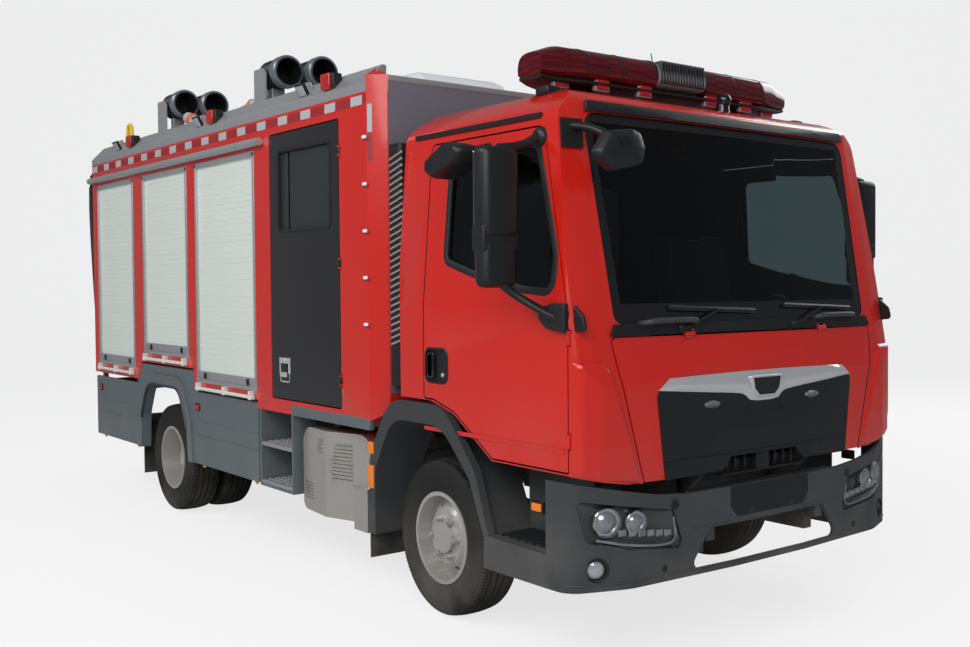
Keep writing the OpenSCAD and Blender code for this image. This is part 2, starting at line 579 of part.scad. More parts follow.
module door() color([0.75, 0.07, 0.05]) {
  difference() {
    intersection() { cab_layer(0, cab_wall); slab_y(rounded(inset(door_outline, shut_gap / 2)), door_inner, 1300); }
    slab_y(rounded(door_window), 900, 1300);
    slab_y(rounded(box2(-10, 1195, 190, 1365, 40)), 1108, 1300);
    for (z = hinge_z) hinge_room(hinge_x, hinge_y, z);
  }
  slab_y(rounded(box2(20, 1225, 60, 1335, 18)), 1100, 1128);
  for (z = hinge_z) hinge_eye(hinge_x, hinge_y, z);
}
module door_glass() color([0.2, 0.3, 0.3, 0.4]) intersection() {
  cab_layer(12, 18);
  slab_y(rounded(door_window), 900, 1300);
}
module mirror_head() color([0.08, 0.08, 0.085]) difference() {
  union() {
  slab_y(rounded([[800, 1880, 20], [915, 1880, 60], [915, 2270, 60], [800, 2270, 20]]), 1200, 1400);
  slab_y(rounded([[805, 1660, 20], [905, 1660, 60], [905, 1872, 20], [805, 1872, 20]]), 1205, 1395);
  block([830, 1280, 1865], [860, 1320, 1885]);
  rod([860, 1210, 2240], [860, 1070, 2345], 18);
  rod([880, 1210, 1720], [1040, 1110, 1500], 20);
  translate([1040, 1119, 1500]) rotate([-90, 0, 0]) cylinder(r = 40, h = 20);
  }
  cab_form(0);
}
// Kerb mirror over the right-hand door's window
module kerb_mirror() color([0.08, 0.08, 0.085]) difference() {
  union() {
    slab_y(rounded([[292, 2196, 24], [350, 2168, 24], [560, 2226, 30], [600, 2300, 30],
      [470, 2330, 20], [292, 2250, 24]]), 1150, 1320);
    rod([470, 1220, 2280], [470, 1030, 2330], 16);
  }
  cab_form(0);
}

// Body. Side openings are [x0, x1, z0, z1] behind the front axle
crew_rear = -body_front - 1413;
crew_front = 80 - body_front;
arch_x = rear_x + 30;
deck_t = 22;
deck_z = eaves_z + deck_t;
header_z = eaves_z - 184;
side_lockers = [[123 - body_rear, arch_x - 632, sill_z + 88, header_z],
  [arch_x - 418, arch_x + 487, sill_z + 216, header_z],
  [arch_x + 640, crew_rear - 14, sill_z + 59, header_z]];
locker_depth = 520;
rear_locker = [250 - body_hw, body_hw - 250, sill_z + 88, eaves_z - 288];
// Sideways limits of a cut through a side wall
cut_in = body_hw - 150;
cut_out = body_hw + 150;
crew_plan = [[crew_rear, -body_hw, 0], [-body_front, -body_hw, 0], [crew_front, -body_hw + 80, 0],
  [crew_front, body_hw - 80, 0], [-body_front, body_hw, 0], [crew_rear, body_hw, 0]];
crew_side = [[crew_rear, subframe_top, 0], [crew_front - 160, subframe_top, 0], [crew_front, sill_z + 27, 60],
  [crew_front, eaves_z, 0], [crew_rear, eaves_z, 0]];
crew_door_outline = box2(crew_rear + 213, sill_z + 20, -body_front - 315, eaves_z - 112, 12);
crew_window = box2(crew_rear + 325, eaves_z - 702, -body_front - 422, eaves_z - 219, 25);
crew_hinge_z = [sill_z + 177, sill_z + 827, eaves_z - 288];
crew_hinge_x = -body_front - 311;
module crew_cabin() color([0.75, 0.07, 0.05]) {
  difference() {
    intersection() {
      slab_z(rounded(crew_plan), subframe_top, eaves_z);
      slab_y(rounded(crew_side), -1300, 1300);
    }
    intersection() {
      slab_z(rounded(inset(crew_plan, body_wall)), subframe_top + body_wall, eaves_z - body_wall);
      slab_y(rounded(inset(crew_side, body_wall)), -1300, 1300);
    }
    both() slab_y(rounded(inset(crew_door_outline, -shut_gap / 2)), cut_in, cut_out);
    both() for (z = crew_hinge_z) hinge_room(crew_hinge_x, body_hw, z);
  }
  both() for (z = crew_hinge_z) hinge_fixed(crew_hinge_x, body_hw, z);
}
module crew_door() color([0.05, 0.05, 0.055]) {
  difference() {
    slab_y(rounded(inset(crew_door_outline, shut_gap / 2)), body_hw - body_wall, body_hw);
    slab_y(rounded(crew_window), cut_in, cut_out);
    slab_y(rounded(box2(crew_rear + 333, sill_z + 127, crew_rear + 453, sill_z + 247, 14)), body_hw - 12, body_hw + 10);
    for (z = crew_hinge_z) hinge_room(crew_hinge_x, body_hw, z);
  }
  slab_y(rounded(box2(crew_rear + 343, sill_z + 177, crew_rear + 443, sill_z + 199, 8)), body_hw - 14, body_hw + 2);
  for (z = crew_hinge_z) hinge_eye(crew_hinge_x, body_hw, z);
}
module crew_glass() color([0.1, 0.12, 0.13, 0.6])
  slab_y(rounded(crew_window), body_hw - 24, body_hw - 18);
module crew_bench() color([0.1, 0.11, 0.14]) {
  for (y = [475 - body_hw, 0, body_hw - 475]) translate([crew_rear, y, 0])
    slab_y(rounded([[533, 1285, 0], [533, 1400, 40], [173, 1390, 30],
      [133, 2000, 36], [55, 2000, 36], [55, 1285, 0]]), -230, 230);
  block([crew_rear + 53, 200 - body_hw, subframe_top + body_wall], [crew_rear + 483, body_hw - 200, 1300]);
}
module locker_body() color([0.75, 0.07, 0.05]) difference() {
  slab_y([[-body_rear, sill_z - 13], [arch_x - 565, sill_z - 13], [arch_x - 490, sill_z + 127],
    [arch_x + 570, sill_z + 127], [arch_x + 580, sill_z - 13], [crew_rear, sill_z - 13],
    [crew_rear, eaves_z], [-body_rear, eaves_z]], -body_hw, body_hw);
  both() for (o = side_lockers)
    block([o[0], body_hw - locker_depth, o[2]], [o[1], body_hw + 1, o[3]]);
  block([-body_rear - 1, rear_locker[0], rear_locker[2]], [-body_rear + 560, rear_locker[1], rear_locker[3]]);
}
slat_h = 36;
module curtain(width, z0, z1) {
  n = floor((z1 - z0) / slat_h);
  linear_extrude(width) polygon(concat(
    [[0, z0], [0, z1]],
    [for (i = [n - 1:-1:0]) each [[12, z0 + (i + 1) * slat_h], [12, z0 + i * slat_h + 5], [9, z0 + i * slat_h + 2.5]]],
    [[12, z0]]));
}
curtain_y = body_hw - 24;
module roller_shutters() color([0.72, 0.74, 0.70]) {
  both() for (o = side_lockers) {
    translate([o[0], curtain_y, 0]) rotate([0, 0, 90]) rotate([90, 0, 0])
      curtain(o[1] - o[0], o[2], o[3]);
  }
  both() for (o = side_lockers) {
    rod([o[0] + 20, body_hw + 16, o[2] - 60], [o[1] - 20, body_hw + 16, o[2] - 60], 12);
    for (x = [o[0] + 40, (o[0] + o[1]) / 2, o[1] - 70])
      block([x, body_hw, o[2] - 75], [x + 30, body_hw + 30, o[2] - 20]);
  }
  translate([-body_rear + 12, rear_locker[0], 0]) rotate([90, 0, 0]) rotate([0, 180, 0])
    curtain(rear_locker[1] - rear_locker[0], rear_locker[2], rear_locker[3]);
}
rail_side = [[body_hw - 70, eaves_z, 0], [body_hw, eaves_z, 0], [body_hw, eaves_z + 45, 0],
  [body_hw - 100, eaves_z + 154, 12], [body_hw - 125, eaves_z + 150, 12], [body_hw - 118, eaves_z + 22, 0]];
module roof_rails() color([0.72, 0.73, 0.74]) {
  both() slab_x(rounded(rail_side), -body_rear, -body_front);
  block([-body_rear, -body_hw + 78, eaves_z], [-body_front, body_hw - 78, deck_z]);
  slab_z(rounded([[-body_front - 1, -body_hw + 2, 0], [-body_front, -body_hw, 0], [crew_front, -body_hw + 80, 0],
    [crew_front, body_hw - 80, 0], [-body_front, body_hw, 0], [-body_front - 1, body_hw - 2, 0]]), eaves_z, eaves_z + 84);
  both() rod([-body_rear + 10, body_hw + 25.2, header_z + 47], [crew_rear + 122, body_hw + 25.2, header_z + 47], 25);
}
skirt_t = 25;
arch_in = [[arch_x - 490, 380, 0], [arch_x + 490, 380, 0], [arch_x + 455, 700, 150],
  [arch_x + 320, 944, 160], [arch_x - 330, 944, 180], [arch_x - 465, 700, 150]];
skirt_top = sill_z - 31;
skirt_back = 32 - body_rear;
step_x = [crew_rear + 20, crew_rear + 488];
step_z = [skirt_z + 23, skirt_z + 263];
module lower_skirts() color([0.33, 0.35, 0.36]) both() {
  difference() {
    slab_y(rounded([[skirt_back, skirt_z, 10], [crew_rear, skirt_z, 10], [crew_rear, skirt_top, 0],
      [arch_x + 579, skirt_top, 0], [arch_x + 569, sill_z + 112, 0], [arch_x - 486, sill_z + 112, 0],
      [arch_x - 570, skirt_top - 15, 0], [skirt_back, skirt_top - 15, 0]]), body_hw - skirt_t, body_hw);
    slab_y(rounded(arch_in), cut_in, cut_out);
  }
  difference() {
    slab_y(rounded(inset(arch_in, -80)), body_hw - 60, body_hw + 18);
    slab_y(rounded(arch_in), cut_in, cut_out);
    block([arch_x - 730, cut_in, 200], [arch_x + 670, cut_out, skirt_z]);
  }
  for (x = [skirt_back + 78, arch_x - 680, arch_x + 690, crew_rear - 117])
    block([x, body_hw - 60, skirt_z + 30], [x + 40, body_hw - skirt_t, sill_z - 13]);
  // crew step box with two treads
  difference() {
    block([step_x[0], body_hw - 350, skirt_z - 11], [step_x[1], body_hw, subframe_top]);
    block([step_x[0] + 20, body_hw - 330, skirt_z + 9], [step_x[1] - 20, body_hw + 1, subframe_top + 1]);
  }
  for (z = step_z) block([step_x[0] + 20, body_hw - 330, z - 18], [step_x[1] - 20, body_hw - 10, z]);
}
// Climate unit on the crew cabin's roof: a tapered shell with louvres in its sides
unit_x = [-2120, -1150];
unit_y = 345;
module roof_unit() color([0.86, 0.87, 0.87]) difference() {
  intersection() {
    slab_y(rounded([[unit_x[0], deck_z, 0], [unit_x[1], deck_z, 0], [unit_x[1] + 5, deck_z + 150, 60],
      [unit_x[1] - 220, deck_z + 320, 300], [unit_x[0] + 70, deck_z + 320, 120], [unit_x[0], deck_z + 230, 60]]),
      -unit_y - 20, unit_y + 20);
    slab_z(rounded([[unit_x[0], -unit_y, 40], [unit_x[1] - 200, -unit_y, 60], [unit_x[1] + 6, -unit_y + 110, 60],
      [unit_x[1] + 6, unit_y - 110, 60], [unit_x[1] - 200, unit_y, 60], [unit_x[0], unit_y, 40]]), deck_z, deck_z + 400);
    slab_x(rounded([[-unit_y - 10, deck_z, 0], [unit_y + 10, deck_z, 0], [unit_y - 20, deck_z + 330, 120],
      [20 - unit_y, deck_z + 330, 120]]), unit_x[0] - 10, unit_x[1] + 20);
  }
  both() for (i = [0:9]) block([unit_x[1] - 250 - i * 38, unit_y - 24, deck_z + 150],
    [unit_x[1] - 236 - i * 38, unit_y + 30, deck_z + 250]);
}
ladder_r = 18;
ladder_top = [-rear_end + ladder_r + 2, eaves_z - 108];
ladder_foot = [-body_rear - 62, sill_z + 387];
ladder_hook_z = eaves_z - 40;
ladder_y = [40 - body_hw, 390 - body_hw];
guard_y = [250 - body_hw, 650 - body_hw];
rungs = 5;
module rear_ladder() color([0.16, 0.16, 0.17]) {
  for (y = ladder_y) {
    rod([ladder_foot[0], y, ladder_foot[1]], [ladder_top[0], y, ladder_top[1]], ladder_r);
    for (e = [ladder_top, ladder_foot]) translate([e[0], y, e[1]]) sphere(r = ladder_r + 2);
    for (e = [[ladder_top, ladder_hook_z], [ladder_foot, ladder_foot[1]]]) {
      rod([e[0][0], y, e[0][1]], [-body_rear - 8, y, e[1]], ladder_r);
      block([-body_rear - 14, y - 30, e[1] - 30], [-body_rear - fit, y + 30, e[1] + 30]);
    }
  }
  // guard hoops on the roof over the ladder's top
  for (y = guard_y) let (x0 = 130 - body_rear, x1 = 290 - body_rear, z1 = deck_z + 320) {
    for (x = [x0, x1]) {
      rod([x, y, deck_z + fit], [x, y, z1], 15);
      translate([x, y, z1]) sphere(r = 16);
    }
    rod([x0, y, z1], [x1, y, z1], 15);
  }
  for (i = [1:rungs]) let (k = i / (rungs + 0.6), x = ladder_foot[0] + (ladder_top[0] - ladder_foot[0]) * k,
    z = ladder_foot[1] + (ladder_top[1] - ladder_foot[1]) * k) side_rod(x, z, ladder_y[0], ladder_y[1], 14);
}
duct_r = 105;
duct_sets = [[-1930, -910], [-1820, -720], [-3580, -950], [-3490, -760]];
duct_z = deck_z + 320;
module roof_ducts() color([0.1, 0.1, 0.1]) for (d = duct_sets) {
  difference() {
    rod([d[0] - 240, d[1], duct_z], [d[0], d[1], duct_z], duct_r);
    rod([d[0] - 200, d[1], duct_z], [d[0] + 1, d[1], duct_z], duct_r - 22);
  }
  block([d[0] - 200, d[1] - 40, deck_z], [d[0] - 160, d[1] + 40, duct_z - 50]);
}
// Lay-flat hose lashed between the two racks, as [x, y, height over the deck]
hose_r = 42;
hose_path = [[-2173, -900, 210], [-2330, -895, 150], [-2520, -880, 70], [-2720, -870, hose_r + 0.3],
  [-3050, -865, hose_r + 0.3], [-3250, -880, 90], [-3420, -930, 150], [-3560, -945, 210]];
module roof_hose() color([0.5, 0.5, 0.48]) difference() {
  union() {
    for (i = [0:len(hose_path) - 2]) rod(hose_at(i), hose_at(i + 1), hose_r);
    for (i = [0:len(hose_path) - 1]) translate(hose_at(i)) sphere(r = hose_r + (i < 3 ? 1 : 0.2));
  }
  for (d = duct_sets) rod([d[0] - 240, d[1], duct_z], [d[0], d[1], duct_z], duct_r + fit);
  for (d = duct_sets) block([d[0] - 200 - fit, d[1] - 40 - fit, deck_z], [d[0] - 160 + fit, d[1] + 40 + fit, duct_z]);
}
function hose_at(i) = hose_path[i] + [0, 0, deck_z];
flood_x = [-1303, -2900, -4609];
beacon_x = [-977, -2645, -4283];
module body_lamps() color([0.12, 0.12, 0.12]) {
  both() difference() {
    union() {
      for (x = flood_x) block([x - 60, body_hw - 75, eaves_z + 62], [x + 60, body_hw + 15, eaves_z + 172]);
      for (x = beacon_x) block([x - 70, body_hw - 75, eaves_z + 62], [x + 70, body_hw + 5, eaves_z + 162]);
    }
    slab_x(rounded(rail_side), -body_rear, -body_front);
  }
  both() for (i = [0:4]) let (z = sill_z + 489 + i * (eaves_z - 1712) / 4)
    block([-body_front - 24, body_hw, z], [-body_front - 2, body_hw + 12, z + 14]);
}
module air_intake() color([0.07, 0.07, 0.07]) {
  slab_z(rounded(box2(crew_front + 16, 65 - body_hw, cab_rear - 24, 190 - body_hw, 30)), 1150, eaves_z - 288);
  block([crew_front, 90 - body_hw, 1300], [crew_front + 20, 150 - body_hw, 1400]);
}
tow_z = 500;
tow_pin_r = 16;
tow_x = -body_rear - 70;
module rear_bumper() color([0.13, 0.13, 0.14]) {
  difference() {
    union() {
      block([-body_rear - 25, 50 - body_hw, 420], [-body_rear + 50, body_hw - 50, 560]);
      for (z = [tow_z - 45, tow_z + 25]) slab_z(rounded([[tow_x - 40, -55, 30], [-body_rear, -80, 0],
        [-body_rear, 80, 0], [tow_x - 40, 55, 30]]), z, z + 20);
    }
    translate([tow_x, 0, tow_z - 60]) cylinder(r = tow_pin_r, h = 120);
  }
  both() block([-body_rear + 40, rail_y - 60, 440], [-body_rear + 110, rail_y, rail_z]);
}

module front_tyre(s) at_wheel(0, s * front_y) tyre();
module front_rim(s) at_wheel(0, s * front_y) front_wheel_rim();
module rear_tyres(s) at_wheel(rear_x, s * twin_out) { tyre(); translate([0, 0, -twin_pitch]) tyre(); }
module rear_rims(s) at_wheel(rear_x, s * twin_out) rear_wheel_rims();
module on_right() mirror([0, 1, 0]) children();
module truck() translate([origin_shift, 0, 0]) children();

truck() chassis_frame();
truck() leaf_springs();
truck() front_axle();
truck() rear_axle();
truck() engine();
truck() fuel_tank();
truck() silencer();
truck() front_bumper();
truck() front_lamps();
truck() front_wings();
truck() mud_flaps();
truck() rear_bumper();
truck() crew_cabin();
truck() locker_body();
truck() roller_shutters();
truck() roof_rails();
truck() lower_skirts();
truck() crew_bench();
truck() roof_unit();
truck() rear_ladder();
truck() roof_ducts();
truck() roof_hose();
truck() body_lamps();
truck() air_intake();
truck() cab_shell();
truck() windscreen();
truck() dashboard();
truck() cab_seats();
truck() light_bar();
truck() cab_trim();
truck() front_lid();
truck() grille();
truck() on_right() door();  // door_right
truck() door();  // door_left
truck() on_right() door_glass();  // door_glass_right
truck() door_glass();  // door_glass_left
truck() on_right() { mirror_head(); kerb_mirror(); }  // mirror_right
truck() mirror_head();  // mirror_left
truck() on_right() crew_door();  // crew_door_right
truck() crew_door();  // crew_door_left
truck() on_right() crew_glass();  // crew_glass_right
truck() crew_glass();  // crew_glass_left
truck() on_right() knuckle();  // knuckle_right
truck() knuckle();  // knuckle_left
truck() front_tyre(-1);  // front_tyre_right
truck() front_rim(-1);  // front_rim_right
truck() front_tyre(1);  // front_tyre_left
truck() front_rim(1);  // front_rim_left
truck() rear_tyres(-1);  // rear_tyres_right
truck() rear_rims(-1);  // rear_rims_right
truck() rear_tyres(1);  // rear_tyres_left
truck() rear_rims(1);  // rear_rims_left
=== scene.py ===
"""A foam fire truck: a two-axle forward-control chassis with a tilting cab, and a rescue body with
a crew cabin, roller shutters, grey skirts and roof gear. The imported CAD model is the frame; this
script dresses it. Metres, X forwards, Y to the vehicle's left, Z up from the road."""

import json
import math

import bmesh
import bpy
import numpy as np
from mathutils import Matrix, Vector


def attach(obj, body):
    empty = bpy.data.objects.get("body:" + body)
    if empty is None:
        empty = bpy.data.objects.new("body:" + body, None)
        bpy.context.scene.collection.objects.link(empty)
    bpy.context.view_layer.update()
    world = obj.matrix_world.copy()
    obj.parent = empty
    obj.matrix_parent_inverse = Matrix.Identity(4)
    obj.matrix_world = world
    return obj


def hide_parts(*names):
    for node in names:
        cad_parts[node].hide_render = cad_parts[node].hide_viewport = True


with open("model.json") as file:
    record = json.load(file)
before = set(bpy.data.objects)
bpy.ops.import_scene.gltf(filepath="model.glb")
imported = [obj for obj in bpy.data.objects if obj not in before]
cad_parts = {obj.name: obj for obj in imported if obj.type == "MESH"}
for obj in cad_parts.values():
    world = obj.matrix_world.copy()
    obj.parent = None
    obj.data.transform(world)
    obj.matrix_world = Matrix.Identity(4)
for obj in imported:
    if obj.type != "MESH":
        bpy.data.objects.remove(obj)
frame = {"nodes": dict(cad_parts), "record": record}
nodes = frame["nodes"]
node_body = {n: b for b, members in frame["record"]["behaviour"]["bodies"].items() for n in members}
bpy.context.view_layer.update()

# Camera, floor and light
# The camera stands at the right-hand front corner, at chest height, with a normal lens.
# A pale floor runs up behind as a backdrop, and three large soft lamps light the truck plainly.
AXLE_X = 2.0865  # the front axle's place in the frame; pieces are drawn counted from it
CAMERA_PLACE = (4.729 + AXLE_X, -4.092, 1.676)
CAMERA_YAW, CAMERA_PITCH, CAMERA_ROLL = map(math.radians, (139.4, -1.73, -0.32))
look = Vector((math.cos(CAMERA_YAW) * math.cos(CAMERA_PITCH),
               math.sin(CAMERA_YAW) * math.cos(CAMERA_PITCH), math.sin(CAMERA_PITCH)))
level = Vector((math.sin(CAMERA_YAW), -math.cos(CAMERA_YAW), 0))
upward = level.cross(look)
right = math.cos(CAMERA_ROLL) * level + math.sin(CAMERA_ROLL) * upward
above = math.cos(CAMERA_ROLL) * upward - math.sin(CAMERA_ROLL) * level
camera = bpy.data.objects.new("camera", bpy.data.cameras.new("camera"))
bpy.context.scene.collection.objects.link(camera)
camera.matrix_world = Matrix.Translation(CAMERA_PLACE) @ Matrix((right, above, -look)).transposed().to_4x4()
camera.data.sensor_width = 36
camera.data.lens = 41.12
camera.data.shift_x, camera.data.shift_y = -0.1089, -0.0057
bpy.context.scene.camera = camera
bpy.context.scene.view_settings.view_transform = "Standard"


class Wire:
    """One output of a material's nodes; arithmetic on it adds Math nodes."""

    def __init__(self, tree, socket=None):
        self.tree, self.socket = tree, socket

    def node(self, kind, settings=(), values=(), out=0):
        """Adds a node: its settings first, then the values or links of its sockets."""
        made = self.tree.nodes.new("ShaderNode" + kind)
        for key, value in dict(settings).items():
            setattr(made, key, value)
        for key, value in dict(values).items():
            if isinstance(value, Wire):
                self.tree.links.new(value.socket, made.inputs[key])
            else:
                made.inputs[key].default_value = value
        return Wire(self.tree, made.outputs[out])

    def maths(self, operation, *terms):
        """A Math node that works on the terms in their order."""
        return self.node("Math", {"operation": operation}, dict(enumerate(terms)))

    def __add__(self, other):
        return self.maths("ADD", self, other)

    def __rsub__(self, other):
        return self.maths("SUBTRACT", other, self)

    def __mul__(self, other):
        return self.maths("MULTIPLY", self, other)

    def between(self, low, high):
        """0 below low, 1 above high and a smooth step from one to the other."""
        return self.node("MapRange", {"interpolation_type": "SMOOTHSTEP"}, {0: self, 1: low, 2: high})


def finish_of(name, colour, roughness, metallic=0.0, **more):
    """A material with one Principled shader; its own sockets are set by name, and a Wire can
    then be given to any of them."""
    material = bpy.data.materials.new(name)
    material.use_nodes = True
    tree = material.node_tree
    shader = tree.nodes["Principled BSDF"]
    values = {"Base Color": (*colour, 1), "Roughness": roughness, "Metallic": metallic, **more}
    for key, value in values.items():
        shader.inputs[key].default_value = value
    return material, Wire(tree), shader


def give(wire, shader, socket):
    """Links a value to one socket of the finish."""
    wire.tree.links.new(wire.socket, shader.inputs[socket])


def noise(start, scale, detail=3.0, stretch=(1, 1, 1)):
    """Cloudy noise from 0 to 1 on the object's own coordinates, stretched along an axis."""
    place = start.node("TexCoord", out=3)
    if stretch != (1, 1, 1):
        place = start.node("Mapping", {}, {"Vector": place, "Scale": stretch})
    return start.node("TexNoise", {}, {"Vector": place, "Scale": scale, "Detail": detail})


def bumped(start, shader, height, strength, distance):
    """Turns a height into the small relief of the finish."""
    give(start.node("Bump", {}, {"Strength": strength, "Distance": distance, "Height": height}), shader,
         "Normal")


floor_finish, start, shader = finish_of("studio_floor", (0.86, 0.86, 0.86), 0.7)
white = start.node("Emission", {}, {"Color": (1, 1, 1, 1), "Strength": 1.0})
dim = start.node("Emission", {}, {"Color": (0.10, 0.10, 0.10, 1), "Strength": 1.0})
plain = Wire(start.tree, shader.outputs[0])
FLOOR_LIFT = 0.75  # the share of plain white that the camera sees, also through glass
FLOOR_SHADE = 0.75  # the share of dark grey that gloss reflects
seen = start.node("LightPath", out=0) + start.node("LightPath", out=6)
lit = start.node("MixShader", {}, {0: seen * FLOOR_LIFT, 1: plain, 2: white})
lit = start.node("MixShader", {}, {0: start.node("LightPath", out=3) * FLOOR_SHADE, 1: lit, 2: dim})
start.tree.links.new(lit.socket, start.tree.nodes["Material Output"].inputs["Surface"])
FLOOR_HALF, BACK_RISE, SWEEP = 30.0, 16.0, 8.0
u = np.linspace(0, 1, 40)
bend = np.clip((u - 0.55) / 0.25, 0, 1) * math.pi / 2
back = np.array([-look.x, -look.y, 0]) / math.hypot(look.x, look.y)
along = np.where(u < 0.55, (0.55 - u) / 0.55 * 2 * FLOOR_HALF - 14, -14 - SWEEP * np.sin(bend))
height = SWEEP * (1 - np.cos(bend)) + np.clip(u - 0.8, 0, 1) / 0.2 * BACK_RISE
side = np.array([-back[1], back[0], 0])
rows = np.stack([np.outer(along, back) + np.outer(height, [0, 0, 1]) + s * 2 * FLOOR_HALF * side
                 for s in (-1, 1)], 1)
floor_mesh = bpy.data.meshes.new("studio_floor")
quads = [[2 * i, 2 * i + 1, 2 * i + 3, 2 * i + 2] for i in range(len(u) - 1)]
floor_mesh.from_pydata(rows.reshape(-1, 3).tolist(), [], quads)
floor_mesh.shade_smooth()
floor_mesh.materials.append(floor_finish)
floor = bpy.data.objects.new("studio_floor", floor_mesh)
bpy.context.scene.collection.objects.link(floor)

world = bpy.data.worlds.new("studio")
bpy.context.scene.world = world
world.use_nodes = True
world.node_tree.nodes["Background"].inputs["Color"].default_value = (0.9, 0.93, 1.0, 1)
WORLD_LIGHT, WORLD_GLOSS = 0.46, 0.12  # the world's strength as light, and as gloss reflects it
glossy = Wire(world.node_tree).node("LightPath", out=3)
strength = Wire(world.node_tree).maths("SUBTRACT", WORLD_LIGHT, glossy * (WORLD_LIGHT - WORLD_GLOSS))
world.node_tree.links.new(strength.socket, world.node_tree.nodes["Background"].inputs["Strength"])
LAMPS = [  # place, width, height, power
    ((8.0, -7.0, 6.0), 6.0, 5.0, 400),
    ((0.5, -9.0, 8.5), 8.0, 4.0, 480),
    ((1.0, 10.0, 7.0), 7.0, 5.0, 330),
]
for number, (place, width, tall, power) in enumerate(LAMPS):
    lamp = bpy.data.objects.new("soft_lamp_%d" % number, bpy.data.lights.new("soft_lamp_%d" % number, "AREA"))
    lamp.data.shape = "RECTANGLE"
    lamp.data.size, lamp.data.size_y, lamp.data.energy = width, tall, power
    lamp.location = place
    lamp.rotation_euler = (Vector((0.5, 0, 1.2)) - Vector(place)).to_track_quat("-Z", "Y").to_euler()
    bpy.context.scene.collection.objects.link(lamp)

# Finishes of the CAD pieces
# Painted sheet, moulded plastic, bright metal, rubber and glass. Each is one material, worn a
# little: faint unevenness in the gloss, and road dust that fades out above the sills.
def dusty(start, shader, colour, dust, low, high, amount):
    """Dust colour mixed over the base colour below a height, broken up by noise."""
    height_here = start.node("SeparateXYZ", {}, {0: start.node("TexCoord", out=3)}, 2)
    mask = (1 - height_here.between(low, high)) * noise(start, 2.6, 6.0).between(0.3, 0.75) * amount
    mixed = start.node("Mix", {"data_type": "RGBA"}, {"Factor": mask, "A": (*colour, 1), "B": (*dust, 1)}, 2)
    give(mixed, shader, "Base Color")
    return mask


DUST = (0.30, 0.27, 0.23)
RED = (0.56, 0.014, 0.008)
red_paint, start, shader = finish_of("red_paint", RED, 0.28, **{"Coat Weight": 0.6, "Coat Roughness": 0.05})
mask = dusty(start, shader, RED, DUST, 0.3, 1.3, 0.16)
give(mask * 0.8 + noise(start, 1.3, 2.0) * 0.08 + 0.20, shader, "Roughness")

black_paint, start, shader = finish_of("black_door", (0.012, 0.012, 0.014), 0.25,
                                       **{"Coat Weight": 0.5, "Coat Roughness": 0.1})
give(noise(start, 1.5, 3.0) * 0.14 + 0.16, shader, "Roughness")

CHASSIS = (0.022, 0.022, 0.024)
chassis_black, start, shader = finish_of("chassis_black", CHASSIS, 0.5)
mask = dusty(start, shader, CHASSIS, DUST, 0.2, 1.1, 0.6)
give(mask * 0.4 + 0.42, shader, "Roughness")

CAST = (0.045, 0.043, 0.042)
cast_iron, start, shader = finish_of("cast_iron", CAST, 0.6, 0.2)
dusty(start, shader, CAST, DUST, 0.2, 1.0, 0.6)
bumped(start, shader, noise(start, 160, 2.0), 0.15, 0.002)

PLASTIC = (0.040, 0.043, 0.046)
plastic_grey, start, shader = finish_of("bumper_plastic", PLASTIC, 0.5)
mask = dusty(start, shader, PLASTIC, DUST, 0.2, 0.95, 0.28)
give(mask * 0.3 + 0.45, shader, "Roughness")
bumped(start, shader, noise(start, 900, 1.0), 0.12, 0.0008)

plastic_black, start, shader = finish_of("black_plastic", (0.011, 0.012, 0.013), 0.42)
give(noise(start, 4.0, 3.0) * 0.12 + 0.36, shader, "Roughness")

SKIRT = (0.105, 0.125, 0.132)
skirt_grey, start, shader = finish_of("skirt_grey", SKIRT, 0.42)
mask = dusty(start, shader, SKIRT, DUST, 0.3, 0.9, 0.3)
give(mask * 0.3 + noise(start, 2.0, 3.0) * 0.1 + 0.34, shader, "Roughness")

ALLOY = (0.74, 0.79, 0.73)
shutter_alloy, start, shader = finish_of("shutter_alu", ALLOY, 0.40, 0.20)
give(noise(start, 0.9, 4.0, (1, 1, 14)) * 0.16 + 0.32, shader, "Roughness")

rail_alloy, start, shader = finish_of("rail_alu", (0.46, 0.47, 0.48), 0.38, 0.6)
give(noise(start, 3.0, 4.0, (0.2, 3, 3)) * 0.2 + 0.28, shader, "Roughness")

bright_steel, start, shader = finish_of("stainless", (0.66, 0.64, 0.59), 0.24, 0.75)
give(noise(start, 3.0, 5.0, (0.4, 4, 4)) * 0.22 + 0.12, shader, "Roughness")

RIM = (0.52, 0.51, 0.48)
rim_paint, start, shader = finish_of("rim_steel", RIM, 0.36, 0.5)
mask = dusty(start, shader, RIM, DUST, 0.0, 0.9, 0.5)
give(mask * 0.4 + 0.32, shader, "Roughness")

chrome = finish_of("chrome", (0.80, 0.81, 0.82), 0.12, 0.65)[0]

RUBBER = (0.010, 0.010, 0.009)
tyre_rubber, start, shader = finish_of("tyre", RUBBER, 0.75)
dusty(start, shader, RUBBER, (0.16, 0.145, 0.12), 0.0, 0.75, 0.55)
bumped(start, shader, noise(start, 220, 2.0), 0.1, 0.001)

FLAP = (0.020, 0.020, 0.020)
flap_rubber, start, shader = finish_of("flap_rubber", FLAP, 0.6)
dusty(start, shader, FLAP, DUST, 0.1, 0.7, 0.5)

